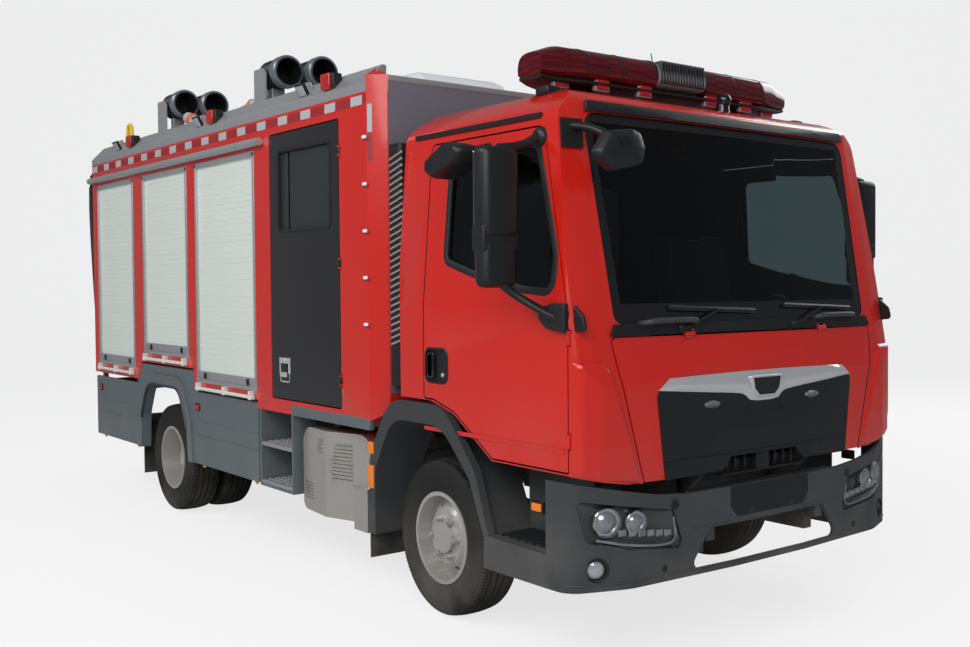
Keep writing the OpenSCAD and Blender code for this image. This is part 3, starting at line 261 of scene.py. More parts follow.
clear_glass = finish_of("glass", (0.34, 0.43, 0.44), 0.0, **{"Transmission Weight": 1.0, "IOR": 1.35})[0]
dark_glass = finish_of("glass_dark", (0.22, 0.26, 0.26), 0.0, **{"Transmission Weight": 0.9, "IOR": 1.3})[0]
lamp_glass = finish_of("lamp_clear", (0.92, 0.94, 0.95), 0.03, **{"Transmission Weight": 0.9, "IOR": 1.3})[0]
red_lens, start, shader = finish_of("red_lens", (0.20, 0.003, 0.008), 0.12,
                                    **{"Coat Weight": 0.4, "Coat Roughness": 0.05})
LENS_DARK, LENS_RED = (0.035, 0.001, 0.002, 1), (0.13, 0.002, 0.006, 1)
place = start.node("Mapping", {}, {"Vector": start.node("TexCoord", out=3), "Scale": (8.0, 8.0, 60.0)})
cells = start.node("TexChecker", {}, {"Vector": place, "Scale": 1.0}, 1)
depth = cells * 0.5 + noise(start, 7.0, 2.0) * 0.5
tone = start.node("Mix", {"data_type": "RGBA"}, {"Factor": depth, "A": LENS_DARK, "B": LENS_RED}, 2)
give(tone, shader, "Base Color")

white_shell, start, shader = finish_of("white_shell", (0.74, 0.75, 0.75), 0.4)
give(noise(start, 2.0, 4.0) * 0.2 + 0.3, shader, "Roughness")

seat_cloth, start, shader = finish_of("seat_cloth", (0.028, 0.031, 0.045), 0.85, **{"Sheen Weight": 0.3})
bumped(start, shader, noise(start, 500, 1.0), 0.3, 0.001)

HOSE = (0.42, 0.43, 0.45)
hose_canvas, start, shader = finish_of("hose_grey", HOSE, 0.6, 0.15)
dusty(start, shader, HOSE, (0.62, 0.62, 0.63), -1.0, 20.0, 0.5)
bumped(start, shader, noise(start, 60, 3.0, (1.6, 4, 4)), 0.5, 0.006)

tank_metal, start, shader = finish_of("tank_metal", (0.42, 0.43, 0.44), 0.45, 0.7)
give(noise(start, 2.0, 4.0) * 0.2 + 0.35, shader, "Roughness")

NODE_FINISH = {"chassis_frame": chassis_black, "leaf_springs": cast_iron, "front_axle": cast_iron,
               "rear_axle": cast_iron, "engine": cast_iron, "fuel_tank": tank_metal,
               "silencer": bright_steel, "front_bumper": plastic_grey, "front_lamps": lamp_glass,
               "front_wings": plastic_grey, "mud_flaps": flap_rubber, "rear_bumper": chassis_black,
               "crew_cabin": red_paint, "locker_body": red_paint, "roller_shutters": shutter_alloy,
               "roof_rails": rail_alloy, "lower_skirts": skirt_grey, "crew_bench": seat_cloth,
               "roof_unit": white_shell, "rear_ladder": plastic_black, "roof_ducts": plastic_black,
               "body_lamps": plastic_black, "air_intake": plastic_black, "cab_shell": red_paint,
               "windscreen": clear_glass, "dashboard": plastic_black, "cab_seats": seat_cloth,
               "light_bar": red_lens, "cab_trim": plastic_black, "front_lid": red_paint,
               "grille": plastic_black, "door": red_paint, "door_glass": clear_glass,
               "mirror": plastic_black, "crew_door": black_paint, "crew_glass": dark_glass,
               "knuckle": cast_iron, "front_tyre": tyre_rubber, "front_rim": rim_paint,
               "rear_tyres": tyre_rubber, "rear_rims": rim_paint, "roof_hose": hose_canvas}
for name, obj in nodes.items():
    finish = NODE_FINISH.get(name) or NODE_FINISH[name.rsplit("_", 1)[0]]
    obj.data.materials.clear()
    obj.data.materials.append(finish)

# Cab and body sheet, edges eased
# The pressed cab, the doors, the crew cabin, the locker body and the moulded bumper and wings.
# Each is the CAD node's own surface, its facets joined and its edges given a small radius.
SHARP = math.radians(32.0)  # an edge bent by more than this stays an edge


def eased(name, width):
    """A copy of a node with doubles merged, flat facets joined, edges bevelled by width, and
    smooth shading below SHARP; it stands for the node and rides on its body."""
    source = nodes[name]
    mesh = source.data.copy()
    work = bmesh.new()
    work.from_mesh(mesh)
    bmesh.ops.remove_doubles(work, verts=work.verts, dist=2e-5)
    bmesh.ops.dissolve_limit(work, angle_limit=math.radians(1.0), verts=work.verts, edges=work.edges)
    work.to_mesh(mesh)
    work.free()
    mesh.shade_smooth()
    mesh.set_sharp_from_angle(angle=SHARP)
    piece = bpy.data.objects.new("shaped_" + name, mesh)
    bpy.context.scene.collection.objects.link(piece)
    if width:
        bevel = piece.modifiers.new("edges", "BEVEL")
        bevel.width, bevel.segments = width, 2
        bevel.limit_method, bevel.angle_limit = "ANGLE", SHARP
        bevel.use_clamp_overlap = True
        bevel.harden_normals = True
    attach(piece, node_body[name])
    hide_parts(name)
    return piece


EASED = {"cab_shell": 0.004, "door_left": 0.004, "door_right": 0.004, "front_lid": 0.004,
         "front_bumper": 0.004, "front_wings": 0.003, "crew_cabin": 0.003, "crew_door_left": 0.003,
         "crew_door_right": 0.003, "locker_body": 0.003, "lower_skirts": 0.002, "roof_rails": 0.002,
         "roof_unit": 0.006, "silencer": 0.002, "dashboard": 0.004, "engine": 0.01, "cab_seats": 0.02,
         "crew_bench": 0.02, "grille": 0.003, "air_intake": 0.004, "rear_bumper": 0.003,
         "fuel_tank": 0.003, "front_rim_left": 0.0015, "front_rim_right": 0.0015,
         "rear_rims_left": 0.0015, "rear_rims_right": 0.0015, "rear_axle": 0.003, "front_axle": 0.003,
         "knuckle_left": 0.002, "knuckle_right": 0.002, "leaf_springs": 0, "windscreen": 0,
         "door_glass_left": 0, "door_glass_right": 0}
for name, width in EASED.items():
    eased(name, width)

# Tyres
# Six radial truck tyres of black rubber, 235 wide. Four wavy grooves run round the tread, short
# slots cut the shoulders, and the sidewall carries the moulded rings of such a tyre.
def joined(parts):
    """Several (points, faces) shapes as one."""
    points, faces, count = [], [], 0
    for some_points, some_faces in parts:
        points.append(np.asarray(some_points, float).reshape(-1, 3))
        faces += [[count + int(k) for k in face] for face in some_faces]
        count += len(points[-1])
    return np.concatenate(points), faces


def grid_faces(rows, columns, wrap_rows=False, wrap_columns=False):
    """Four-sided faces of a rows by columns grid, closed round where asked."""
    i, j = np.meshgrid(np.arange(rows - (not wrap_rows)), np.arange(columns - (not wrap_columns)),
                       indexing="ij")
    i, j = i.ravel(), j.ravel()
    below, beside = (i + 1) % rows, (j + 1) % columns
    corners = [i * columns + j, below * columns + j, below * columns + beside, i * columns + beside]
    return np.stack(corners, 1).tolist()


def piece(name, shape, finish, body, smooth=35.0, slot=None, bevel=0.0, segments=2, turn=False):
    """A mesh object of one finish in its place, counted from the front axle, on its body."""
    points, faces = shape
    mesh = bpy.data.meshes.new(name)
    mesh.from_pydata((np.asarray(points, float) + [AXLE_X, 0, 0]).tolist(), [], faces)
    if turn:
        work = bmesh.new()
        work.from_mesh(mesh)
        bmesh.ops.remove_doubles(work, verts=work.verts, dist=1e-5)
        bmesh.ops.recalc_face_normals(work, faces=work.faces)
        work.to_mesh(mesh)
        work.free()
    mesh.shade_smooth()
    mesh.set_sharp_from_angle(angle=math.radians(smooth))
    mesh.materials.append(finish)
    obj = bpy.data.objects.new(name, mesh)
    bpy.context.scene.collection.objects.link(obj)
    if bevel:
        edge = obj.modifiers.new("edges", "BEVEL")
        edge.width, edge.segments, edge.limit_method = bevel, segments, "ANGLE"
        edge.angle_limit = math.radians(40)
        edge.harden_normals = True
    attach(obj, body)
    return obj


TYRE_R, BEAD_R, HALF_TYRE = 0.3985, 0.2225, 0.1175
TYRE_TURNS = 360
TREAD_HALF, GROOVE_HALF, GROOVE_DEPTH = 0.095, 0.0045, 0.011


def smoothed(line, rounds=2):
    """Cuts every corner of a polyline at a quarter and three quarters, keeping its ends."""
    line = np.asarray(line, float)
    for _ in range(rounds):
        a, b = line[:-1], line[1:]
        cut = np.stack([0.75 * a + 0.25 * b, 0.25 * a + 0.75 * b], 1).reshape(-1, line.shape[1])
        line = np.concatenate([line[:1], cut, line[-1:]])
    return line


def tyre_surface(centre, outward, blocks):
    """A point is (radius, across) on the tyre's section, carried round the axle. The radius loses
    the groove depth where the place across lies within a wavy groove's half width, or where a
    shoulder slot passes; raised rings on the sidewall add 1.5 mm across."""
    side = smoothed([(BEAD_R, -0.094), (0.2300, -0.0995), (0.2450, -0.1035), (0.2700, -0.1110),
                     (0.3050, -HALF_TYRE), (0.3350, -0.1165), (0.3600, -0.1110), (0.3800, -0.1050),
                     (0.3890, -TREAD_HALF)])
    tread_w = np.linspace(-TREAD_HALF, TREAD_HALF, 61)[1:-1]
    tread = np.stack([TYRE_R - 0.0095 * np.abs(tread_w / TREAD_HALF) ** 2.6, tread_w], 1)
    section = np.concatenate([side, tread, side[::-1] * [1, -1]])
    angle = np.arange(TYRE_TURNS) / TYRE_TURNS * 2 * math.pi
    radius = np.repeat(section[None, :, 0], TYRE_TURNS, 0)
    across = np.repeat(section[None, :, 1], TYRE_TURNS, 0)
    wave = 0.0035 * np.abs(((angle * blocks / math.pi) % 2) - 1)[:, None]
    on_tread = radius > 0.386
    for groove in (-0.060, -0.020, 0.020, 0.060):
        inside = np.abs(across - groove - wave + 0.0018) < GROOVE_HALF
        radius = radius - np.where(inside & on_tread, GROOVE_DEPTH, 0)
    turn = np.arange(TYRE_TURNS)
    step = (turn * blocks * 2 // TYRE_TURNS != np.roll(turn, 1) * blocks * 2 // TYRE_TURNS)[:, None]
    slot_here = step & (np.abs(across) > 0.072) & (radius > 0.372)
    radius = radius - np.where(slot_here, 0.008, 0)
    rings = np.exp(-((radius - 0.352) / 0.0016) ** 2) + np.exp(-((radius - 0.262) / 0.0014) ** 2)
    rings = rings + 0.8 * np.exp(-((radius - 0.300) / 0.001) ** 2)
    across = across + np.sign(across) * 0.0015 * rings * (radius < 0.37)
    x = centre[0] + radius * np.sin(angle)[:, None]
    z = centre[2] + radius * np.cos(angle)[:, None]
    y = centre[1] + outward * across
    points = np.stack([x, y, z], -1).reshape(-1, 3)
    return points, grid_faces(TYRE_TURNS, len(section), True, True)


REAR_X, FRONT_TYRE_Y, TWIN_Y, TWIN_PITCH = -3.600, 0.940, 0.983, 0.266
for side, sign in (("left", 1), ("right", -1)):
    made = piece("rubber_front_" + side, tyre_surface((0, sign * FRONT_TYRE_Y, TYRE_R), sign, 66),
                 tyre_rubber, "wheel_front_" + side, 50, "tyre", turn=True)
    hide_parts("front_tyre_" + side)
    twins = [tyre_surface((REAR_X, sign * y, TYRE_R), sign, 48) for y in (TWIN_Y, TWIN_Y - TWIN_PITCH)]
    made = piece("rubber_rear_" + side, joined(twins), tyre_rubber, "wheel_rear_" + side, 50, "tyre",
                 turn=True)
    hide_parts("rear_tyres_" + side)

# Cab skin that the trim follows
# The cab's front is pressed steel: upright to the waist, then raked with the windscreen, and bent
# round to the doors. Bands, seals and bars lie on it, so they take their place from this surface.
def arced(corners, steps=8):
    """A polyline whose corners (a, b, radius) are turned into arcs, ends kept."""
    corners = [np.array(c, float) for c in corners]
    line = [corners[0][:2]]
    for before, here, after in zip(corners, corners[1:], corners[2:]):
        r, q = here[2], here[:2]
        a, b = before[:2] - q, after[:2] - q
        a, b = a / np.linalg.norm(a), b / np.linalg.norm(b)
        half = math.acos(max(-1.0, min(1.0, float(a @ b)))) / 2
        if r <= 0 or abs(half - math.pi / 2) < 1e-4:
            line.append(q)
            continue
        start, end = q + a * r / math.tan(half), q + b * r / math.tan(half)
        middle = q + (a + b) / np.linalg.norm(a + b) * r / math.sin(half)
        t = np.linspace(0, 1, steps)[:, None]
        way = (start - middle) * (1 - t) + (end - middle) * t
        line += list(middle + way / np.linalg.norm(way, axis=1)[:, None] * r)
    line.append(corners[-1][:2])
    return np.array(line)


CAB_SIDE = arced([(0.816, 1.150, 0), (0.806, 1.232, 0.010), (1.000, 1.238, 0.300), (1.400, 1.214, 0.060),
                  (1.489, 1.192, 0.040), (2.462, 1.010, 0.120), (2.560, 0.880, 0.260), (2.590, 0.300, 0)])
CAB_PLAN = arced([(0, 1.240, 0), (0.300, 1.240, 0.900), (1.000, 1.200, 0.100), (1.120, 1.160, 0.060),
                  (1.1201, 0.0, 0)])
CAB_RAKED = arced([(0, 0, 0), (0.300, 0, 0.900), (0.960, -0.034, 0.130), (1.138, -0.060, 0.060),
                   (1.160, -1.9, 0)])
CAB_FRONT = arced([(1.120, 0.700, 0), (1.120, 1.560, 0.300), (1.052, 2.440, 0.100), (0.900, 2.570, 0.200),
                   (0, 2.592, 0)])
RAKE = math.tan(math.radians(10.6))


def skin_x(y, z):
    """How far forward the cab reaches at y and z: the least of its side outline, its plan, and
    its second plan, which leans back with the windscreen."""
    y, z = np.abs(np.asarray(y, float)), np.asarray(z, float)
    side = np.interp(z, CAB_SIDE[1:, 0], CAB_SIDE[1:, 1])
    plan = np.interp(y, CAB_PLAN[:, 0], CAB_PLAN[:, 1])
    raked = 1.192 + (1.489 - z) * RAKE + np.interp(y, CAB_RAKED[:, 0], CAB_RAKED[:, 1])
    return np.minimum(np.minimum(side, plan), raked)


def skin_y(z):
    """Half the cab's width at a height, from its front outline."""
    return np.interp(z, CAB_FRONT[:, 1], CAB_FRONT[:, 0])


CELL = 0.02  # about the spacing of the points laid on the cab's front


def on_front(outline, lift, thick):
    """A flat outline in (y, z) laid on the cab's front: rows of points run from its left edge to
    its right edge at each height, at lift before the skin, with a wall round the edge."""
    outline = np.asarray(outline, float)
    z = np.linspace(outline[:, 1].min() + 1e-4, outline[:, 1].max() - 1e-4,
                    max(3, int(np.ptp(outline[:, 1]) / CELL) + 2))
    ends = []
    for level_z in z:
        a, b = outline, np.roll(outline, -1, 0)
        hit = (a[:, 1] - level_z) * (b[:, 1] - level_z) < 0
        y = a[hit, 0] + (level_z - a[hit, 1]) * (b[hit, 0] - a[hit, 0]) / (b[hit, 1] - a[hit, 1])
        ends.append((y.min(), y.max()))
    ends = np.array(ends)
    columns = max(3, int(np.ptp(outline[:, 0]) / CELL) + 2)
    t = np.linspace(0, 1, columns)
    y = ends[:, :1] * (1 - t) + ends[:, 1:] * t
    zz = np.repeat(z[:, None], columns, 1)
    front = np.stack([skin_x(y, zz) + lift + thick, y, zz], -1)
    rear = np.stack([skin_x(y, zz) + lift - 0.004, y, zz], -1)
    return walled(front, rear)


def walled(front, rear):
    """Two like grids of points as one closed shell: both faces and the wall between their edges."""
    rows, columns = front.shape[:2]
    count = rows * columns
    face = np.array(grid_faces(rows, columns))
    index = np.arange(count).reshape(rows, columns)
    rim = np.concatenate([index[0, :], index[1:, -1], index[-1, -2::-1], index[-2:0:-1, 0]])
    after = np.roll(rim, -1)
    wall = np.stack([rim, after, after + count, rim + count], 1)
    points = np.concatenate([front.reshape(-1, 3), rear.reshape(-1, 3)])
    return points, face.tolist() + (face[:, ::-1] + count).tolist() + wall.tolist()


def swept(path, section):
    """A section of (side, up) offsets carried along a path; at each point it stands square to
    the path, its up kept as near to Z as it can be, and both ends are closed."""
    path, section = np.asarray(path, float), np.asarray(section, float)
    way = np.gradient(path, axis=0)
    way /= np.linalg.norm(way, axis=1)[:, None]
    guide = np.where(np.abs(way[:, 2:]) > 0.95, [[1.0, 0, 0]], [[0, 0, 1.0]])
    aside = np.cross(way, guide)
    aside /= np.linalg.norm(aside, axis=1)[:, None]
    over = np.cross(aside, way)
    points = path[:, None] + section[None, :, :1] * aside[:, None] + section[None, :, 1:] * over[:, None]
    last = (len(path) - 1) * len(section)
    faces = grid_faces(len(path), len(section), False, True)
    faces += [list(range(len(section)))[::-1], [last + k for k in range(len(section))]]
    return points.reshape(-1, 3), faces


def ring(radius, count=16, squash=1.0):
    """A round or oval section for a swept bar."""
    angle = np.arange(count) / count * 2 * math.pi
    return np.stack([radius * np.cos(angle), radius * squash * np.sin(angle)], 1)


def bar(a, b, radius):
    """A straight round bar: one ring carried from a to b."""
    return swept(np.linspace(a, b, 2), ring(radius))


def bent(points, radius, count=12, rounds=3):
    """A round bar along a polyline whose corners are eased."""
    return swept(smoothed(points, rounds), ring(radius, count))


def block(low, high, r=0.004, steps=3):
    """A box with round edges: each point of a sphere of radius r is moved to the corner that its
    direction points to."""
    low, high = np.minimum(low, high).astype(float), np.maximum(low, high).astype(float)
    r = min(r, float((high - low).min()) / 2 * 0.99)
    half = (high - low) / 2 - r
    quarter = np.linspace(0, math.pi / 2, steps + 1)
    lon = np.concatenate([quarter + k * math.pi / 2 for k in range(4)])
    lon_x = np.repeat([1, -1, -1, 1], steps + 1)
    lon_y = np.repeat([1, 1, -1, -1], steps + 1)
    lat = np.concatenate([quarter - math.pi / 2, quarter])
    lat_z = np.repeat([-1, 1], steps + 1)
    around = np.stack([np.cos(lon), np.sin(lon), 0 * lon], 1)
    points = r * (np.cos(lat)[:, None, None] * around[None] + np.sin(lat)[:, None, None] * [0, 0, 1])
    points = points + np.stack([np.broadcast_to(lon_x * half[0], (len(lat), len(lon))),
                                np.broadcast_to(lon_y * half[1], (len(lat), len(lon))),
                                np.broadcast_to((lat_z * half[2])[:, None], (len(lat), len(lon)))], -1)
    n = len(lon)
    faces = grid_faces(len(lat), n, False, True)
    faces += [list(range(n))[::-1], [(len(lat) - 1) * n + k for k in range(n)]]
    return (points + (low + high) / 2).reshape(-1, 3), faces


def turned(profile, centre, axis, count=32):
    """A profile of (radius, along) carried round an axis, poles closed by the profile's ends."""
    profile = np.asarray(profile, float)
    axis = np.asarray(axis, float) / np.linalg.norm(axis)
    aside = np.cross(axis, [0, 0, 1.0] if abs(axis[2]) < 0.9 else [1.0, 0, 0])
    aside /= np.linalg.norm(aside)
    over = np.cross(axis, aside)
    angle = np.arange(count) / count * 2 * math.pi
    spoke = np.cos(angle)[:, None] * aside + np.sin(angle)[:, None] * over
    points = centre + profile[None, :, :1] * spoke[:, None] + profile[None, :, 1:] * axis
    n = len(profile)
    faces = grid_faces(count, n, True, False)
    faces += [[k * n for k in range(count)], [k * n + n - 1 for k in range(count)][::-1]]
    return points.reshape(-1, 3), faces


def slab(outline, low, high, axis):
    """A flat outline pushed along an axis: (y, z) for x, (x, z) for y and (x, y) for z."""
    outline = np.asarray(outline, float)
    order = {"x": (2, 0, 1), "y": (0, 2, 1), "z": (0, 1, 2)}[axis]
    layers = [np.concatenate([outline, np.full((len(outline), 1), level_at)], 1)[:, order]
              for level_at in (low, high)]
    n = len(outline)
    faces = [list(range(n))[::-1], [n + k for k in range(n)]]
    faces += [[k, (k + 1) % n, n + (k + 1) % n, n + k] for k in range(n)]
    return np.concatenate(layers), faces


def mirrored(shape):
    """The same shape on the other side of the truck."""
    points, faces = shape
    return np.asarray(points, float) * [1, -1, 1], [list(face)[::-1] for face in faces]


def both_sides(*shapes):
    """The shapes, and the same ones with y turned to minus y."""
    return joined([*shapes, *[mirrored(shape) for shape in shapes]])


# Inside of the cab
# Dark cloth lines the cab behind its painted steel; its near-black colour is painted shade, so what
# shows through the screen is dark. The cab's underside and its sill over the wheel get the same black
# as painted shade.
# the lining's near-black colour is painted shade inside and under the cab
shade_lining, start, shader = finish_of("cab_painted_shade", (0.016, 0.018, 0.020), 0.9)
bumped(start, shader, noise(start, 300, 2.0), 0.2, 0.001)
CAB_MIDDLE = np.array([0.3, 0, 1.7])
SHADED_DEPTH = 0.018  # a face this far behind the skin belongs to the cab's inside
ROOF_UNDER = 2.53
UNDER_Z = 1.1  # faces under this that look down get the black painted shade of the cab's underside
SILL_Z, SILL_X = 0.985, 0.60  # and so does the sill over the wheel
for name in ("cab_shell", "door_left", "door_right"):
    mesh = bpy.data.objects["shaped_" + name].data
    mesh.materials.append(shade_lining)
    count = len(mesh.polygons)
    centre, normal = np.zeros(count * 3), np.zeros(count * 3)
    mesh.polygons.foreach_get("center", centre)
    mesh.polygons.foreach_get("normal", normal)
    centre, normal = centre.reshape(-1, 3) - [AXLE_X, 0, 0], normal.reshape(-1, 3)
    inward = (CAB_MIDDLE - centre) * normal
    x, y, z = centre.T
    inside = (skin_x(y, z) - x > SHADED_DEPTH) & (skin_y(z) - np.abs(y) > SHADED_DEPTH) & (z < ROOF_UNDER)
    under = ((normal[:, 2] < -0.7) & (z < UNDER_Z)) | ((z < SILL_Z) & (x < SILL_X))
    # faces inside the cab, under it and on the sill over the wheel get the near-black painted shade
    shaded_faces = under | (inside & (inward.sum(1) > 0))
    mesh.polygons.foreach_set("material_index", shaded_faces.astype(np.int32))

# Windscreen border, cowl, wipers and visor
# The laminated screen is bonded behind a black printed border; a moulded black cowl under it
# carries two wipers and two dark grab handles, and a black visor lip closes the top.
FRIT = [(-0.905, 1.492), (0.905, 1.492), (0.935, 2.455), (-0.935, 2.455)]
FRIT_INNER = [(-0.845, 1.590), (0.845, 1.590), (0.880, 2.395), (-0.880, 2.395)]


def band_round(outline, inner, lift, thick=0.002):
    """The strip between two like outlines laid on the cab's front."""
    outline, inner = np.asarray(outline, float), np.asarray(inner, float)
    k = np.linspace(0, 1, 24, endpoint=False)[:, None]

    def edge(loop):
        """A closed loop with 24 points on each of its sides."""
        return np.concatenate([a * (1 - k) + b * k for a, b in zip(loop, np.roll(loop, -1, 0))])
    t = np.linspace(0, 1, 5)[:, None, None]
    flat = edge(outline)[None] * (1 - t) + edge(inner)[None] * t
    front = np.stack([skin_x(flat[..., 0], flat[..., 1]) + lift + thick, flat[..., 0], flat[..., 1]], -1)
    rear = front - [thick + 0.004, 0, 0]
    n = flat.shape[1]
    face = np.array(grid_faces(5, n, False, True))
    edges = [(0, k, (k + 1) % n) for k in range(n)] + [(4, (k + 1) % n, k) for k in range(n)]
    count = 5 * n
    wall = [[row * n + a, row * n + a + count, row * n + b + count, row * n + b] for row, a, b in edges]
    points = np.concatenate([front.reshape(-1, 3), rear.reshape(-1, 3)])
    return points, face.tolist() + (face[:, ::-1] + count).tolist() + wall


gloss_black = finish_of("gloss_black", (0.008, 0.008, 0.009), 0.12, **{"Coat Weight": 0.5})[0]
piece("screen_border", band_round(FRIT, FRIT_INNER, -0.006), gloss_black, "cab", slot="black_plastic",
      turn=True)
COWL = [(-0.930, 1.452), (0.930, 1.452), (0.905, 1.502), (-0.905, 1.502)]
VISOR = [(-0.915, 2.445), (0.915, 2.445), (0.905, 2.492), (-0.905, 2.492)]
piece("cowl_panel", on_front(COWL, 0.001, 0.010), plastic_black, "cab", slot="black_plastic", turn=True)
piece("visor_lip", on_front(VISOR, 0.002, 0.022), plastic_black, "cab", slot="black_plastic", turn=True)


def arm_points(y0, y1, z0, z1, lift, count=9):
    """A row of points that runs along the cab's front at lift before the skin."""
    t = np.linspace(0, 1, count)
    y, z = y0 + (y1 - y0) * t, z0 + (z1 - z0) * t
    return np.stack([skin_x(y, z) + lift, y, z], 1)


BLADE = [(-0.004, -0.011), (0.004, -0.011), (0.007, 0.004), (0, 0.012), (-0.007, 0.004)]
wiper_parts = []
for foot in (-0.520, 0.260):
    wiper_parts += [
        swept(arm_points(foot, foot + 0.230, 1.474, 1.556, 0.024), ring(0.0085, 10, 0.6)),
        swept(arm_points(foot - 0.060, foot + 0.500, 1.570, 1.546, 0.013), BLADE),
        turned([(0.001, 0.030), (0.016, 0.028), (0.020, 0.018), (0.022, 0)],
               (float(skin_x(foot, 1.474)), foot, 1.474), (1, 0, 0.1), 20),
    ]
piece("wipers", joined(wiper_parts), plastic_black, "cab", slot="black_plastic", turn=True)

GRIP_Y, GRIP_HALF = 0.590, 0.150
x = float(skin_x(GRIP_Y, 1.53))
grip_line = [(x - 0.018, GRIP_Y - GRIP_HALF - 0.010, 1.500), (x + 0.048, GRIP_Y - GRIP_HALF, 1.508),
             (x + 0.056, GRIP_Y - GRIP_HALF + 0.03, 1.516), (x + 0.056, GRIP_Y + GRIP_HALF - 0.03, 1.516),
             (x + 0.040, GRIP_Y + GRIP_HALF, 1.508), (x - 0.030, GRIP_Y + GRIP_HALF + 0.010, 1.500)]
piece("grab_handles", both_sides(bent(grip_line, 0.013)), plastic_grey, "cab", slot="black_plastic",
      turn=True)

# Lid and grille
# The lid carries a plain black grille moulding, a broad chrome bow whose lower edge drops to a
# bare shield plate, a shallow recess under it, and two oval marker lamps. Its inlet is open.
BOW = [(-0.690, 1.205), (-0.430, 1.183), (-0.165, 1.162), (-0.130, 1.148), (-0.098, 1.118), (0.098, 1.118),
       (0.130, 1.148), (0.165, 1.162), (0.430, 1.183), (0.690, 1.205)]
BOW_TOP = [(-0.622, 1.256), (-0.420, 1.260), (-0.165, 1.263), (-0.130, 1.263), (-0.098, 1.263),
           (0.098, 1.263), (0.130, 1.263), (0.165, 1.263), (0.420, 1.260), (0.622, 1.256)]


def strip_on_front(lower, upper, lift, bulge, columns=140, rows=9):
    """The band between two lines over y, crowned towards its middle by bulge."""
    lower, upper = np.asarray(lower, float), np.asarray(upper, float)
    s, t = np.linspace(0, 1, columns), np.linspace(0, 1, rows)[:, None]
    k = (lower[:, 0] - lower[0, 0]) / np.ptp(lower[:, 0])
    low = np.stack([np.interp(s, k, lower[:, i]) for i in (0, 1)], 1)
    up = np.stack([np.interp(s, k, upper[:, i]) for i in (0, 1)], 1)
    flat = low[None] * (1 - t[..., None]) + up[None] * t[..., None]
    x = skin_x(flat[..., 0], flat[..., 1])
    crown = bulge * (1 - (2 * t - 1) ** 2) * np.minimum(1, 12 * np.minimum(s, 1 - s) + 0.15)
    front = np.stack([x + lift + crown, flat[..., 0], flat[..., 1]], -1)
    return walled(front, np.stack([x - 0.006 + 0 * crown, flat[..., 0], flat[..., 1]], -1))


piece("chrome_bow", strip_on_front(smoothed(BOW, 1), smoothed(BOW_TOP, 1), 0.006, 0.016), chrome, "lid",
      slot="black_plastic", turn=True)
SHIELD = [(-0.112, 1.240), (0.112, 1.240), (0.100, 1.175), (0.062, 1.136), (-0.062, 1.136), (-0.100, 1.175)]
shield_x = float(skin_x(0, 1.19))
SHIELD_FIELD = [(y * 0.86, 1.190 + (z - 1.190) * 0.80) for y, z in SHIELD]
piece("badge_plate", slab(SHIELD, shield_x + 0.008, shield_x + 0.028, "x"), chrome, "lid",
      slot="black_plastic", bevel=0.006, segments=3)
piece("badge_field", slab(SHIELD_FIELD, shield_x + 0.022, shield_x + 0.0315, "x"), gloss_black, "lid",
      slot="black_plastic", bevel=0.002)
RECESS = [(0.108, 1.106), (0.160, 1.058), (-0.160, 1.058), (-0.108, 1.106)]
recess_line = np.array([(float(skin_x(y, z)) + 0.004, y, z) for y, z in smoothed(RECESS, 3)])
mould_y = np.linspace(-0.655, 0.655, 60)
mould = np.stack([skin_x(mould_y, 0.885 + 0 * mould_y) + 0.003, mould_y, 0.885 + 0 * mould_y], 1)
mouldings = [swept(recess_line, ring(0.006, 10)), swept(mould, ring(0.006, 10, 0.6))]
piece("grille_mouldings", joined(mouldings), plastic_black, "lid", slot="black_plastic", turn=True)

lamp_shape = []
for y in (-0.362, 0.362):
    x = float(skin_x(y, 1.12))
    oval = turned([(0.0001, 0.020), (0.020, 0.018), (0.034, 0.010), (0.040, 0.0)], (0, 0, 0), (1, 0, 0), 28)
    lamp_shape.append((np.asarray(oval[0]) * [1, 1.35, 0.45] + [x + 0.004, y, 1.122], oval[1]))
piece("marker_ovals", joined(lamp_shape), lamp_glass, "lid", slot="lamp_clear", turn=True)

INLET_X = float(skin_x(0, 0.825))
inlet = [block((INLET_X - 0.040, -0.045, 0.782), (INLET_X - 0.004, 0.045, 0.872), 0.006),
         block((INLET_X - 0.034, -0.300, 0.778), (INLET_X - 0.002, 0.300, 0.790), 0.004)]
inlet += [block((INLET_X - 0.040, side_y - 0.006, 0.790), (INLET_X - 0.024, side_y + 0.006, 0.868), 0.003)
          for side_y in (-0.235, -0.175, -0.110, 0.110, 0.175, 0.235)]
piece("inlet_bars", joined(inlet), plastic_black, "lid", slot="black_plastic", turn=True)

# Bumper and lamps
# The bumper is dark moulded plastic. Each headlamp is a clear cover over a grey bowl with two
# round lamps, a pale daylight strip and a row of small clear lamps; the plate field is bare.
BUMPER_PLAN = arced([(0, 1.275, 0), (0.260, 1.275, 0.900), (0.880, 1.240, 0.260), (1.146, 1.130, 0.110),
                     (1.1461, 0.984, 0)])


def bumper_x(y):
    """How far forward the bumper's skin is at a distance from the middle."""
    return np.interp(np.abs(y), BUMPER_PLAN[:, 0], BUMPER_PLAN[:, 1])


HEADLAMP = [(1.112, 0.757), (1.068, 0.576), (0.892, 0.530), (0.572, 0.496), (0.634, 0.677)]
LAMP_MIDDLE = np.mean(HEADLAMP, 0)


def lamp_field(scale, lift, depth, steps=14):
    """The headlamp's outline, shrunk towards its middle, on rows that follow the bumper's plan;
    depth is how far its middle is sunk."""
    loop = round_loop(HEADLAMP, (0.020, 0.040, 0.040, 0.030, 0.025))
    loop = LAMP_MIDDLE + (loop - LAMP_MIDDLE) * scale
    t = np.linspace(0.001, 1, steps)[:, None, None]
    flat = loop[None] * t + LAMP_MIDDLE * (1 - t)
    sag = depth * (1 - t[..., 0] ** 4)
    front = np.stack([bumper_x(flat[..., 0]) + lift - sag, flat[..., 0], flat[..., 1]], -1)
    n = len(loop)
    return front.reshape(-1, 3), grid_faces(steps, n, False, True) + [list(range(n))[::-1]]


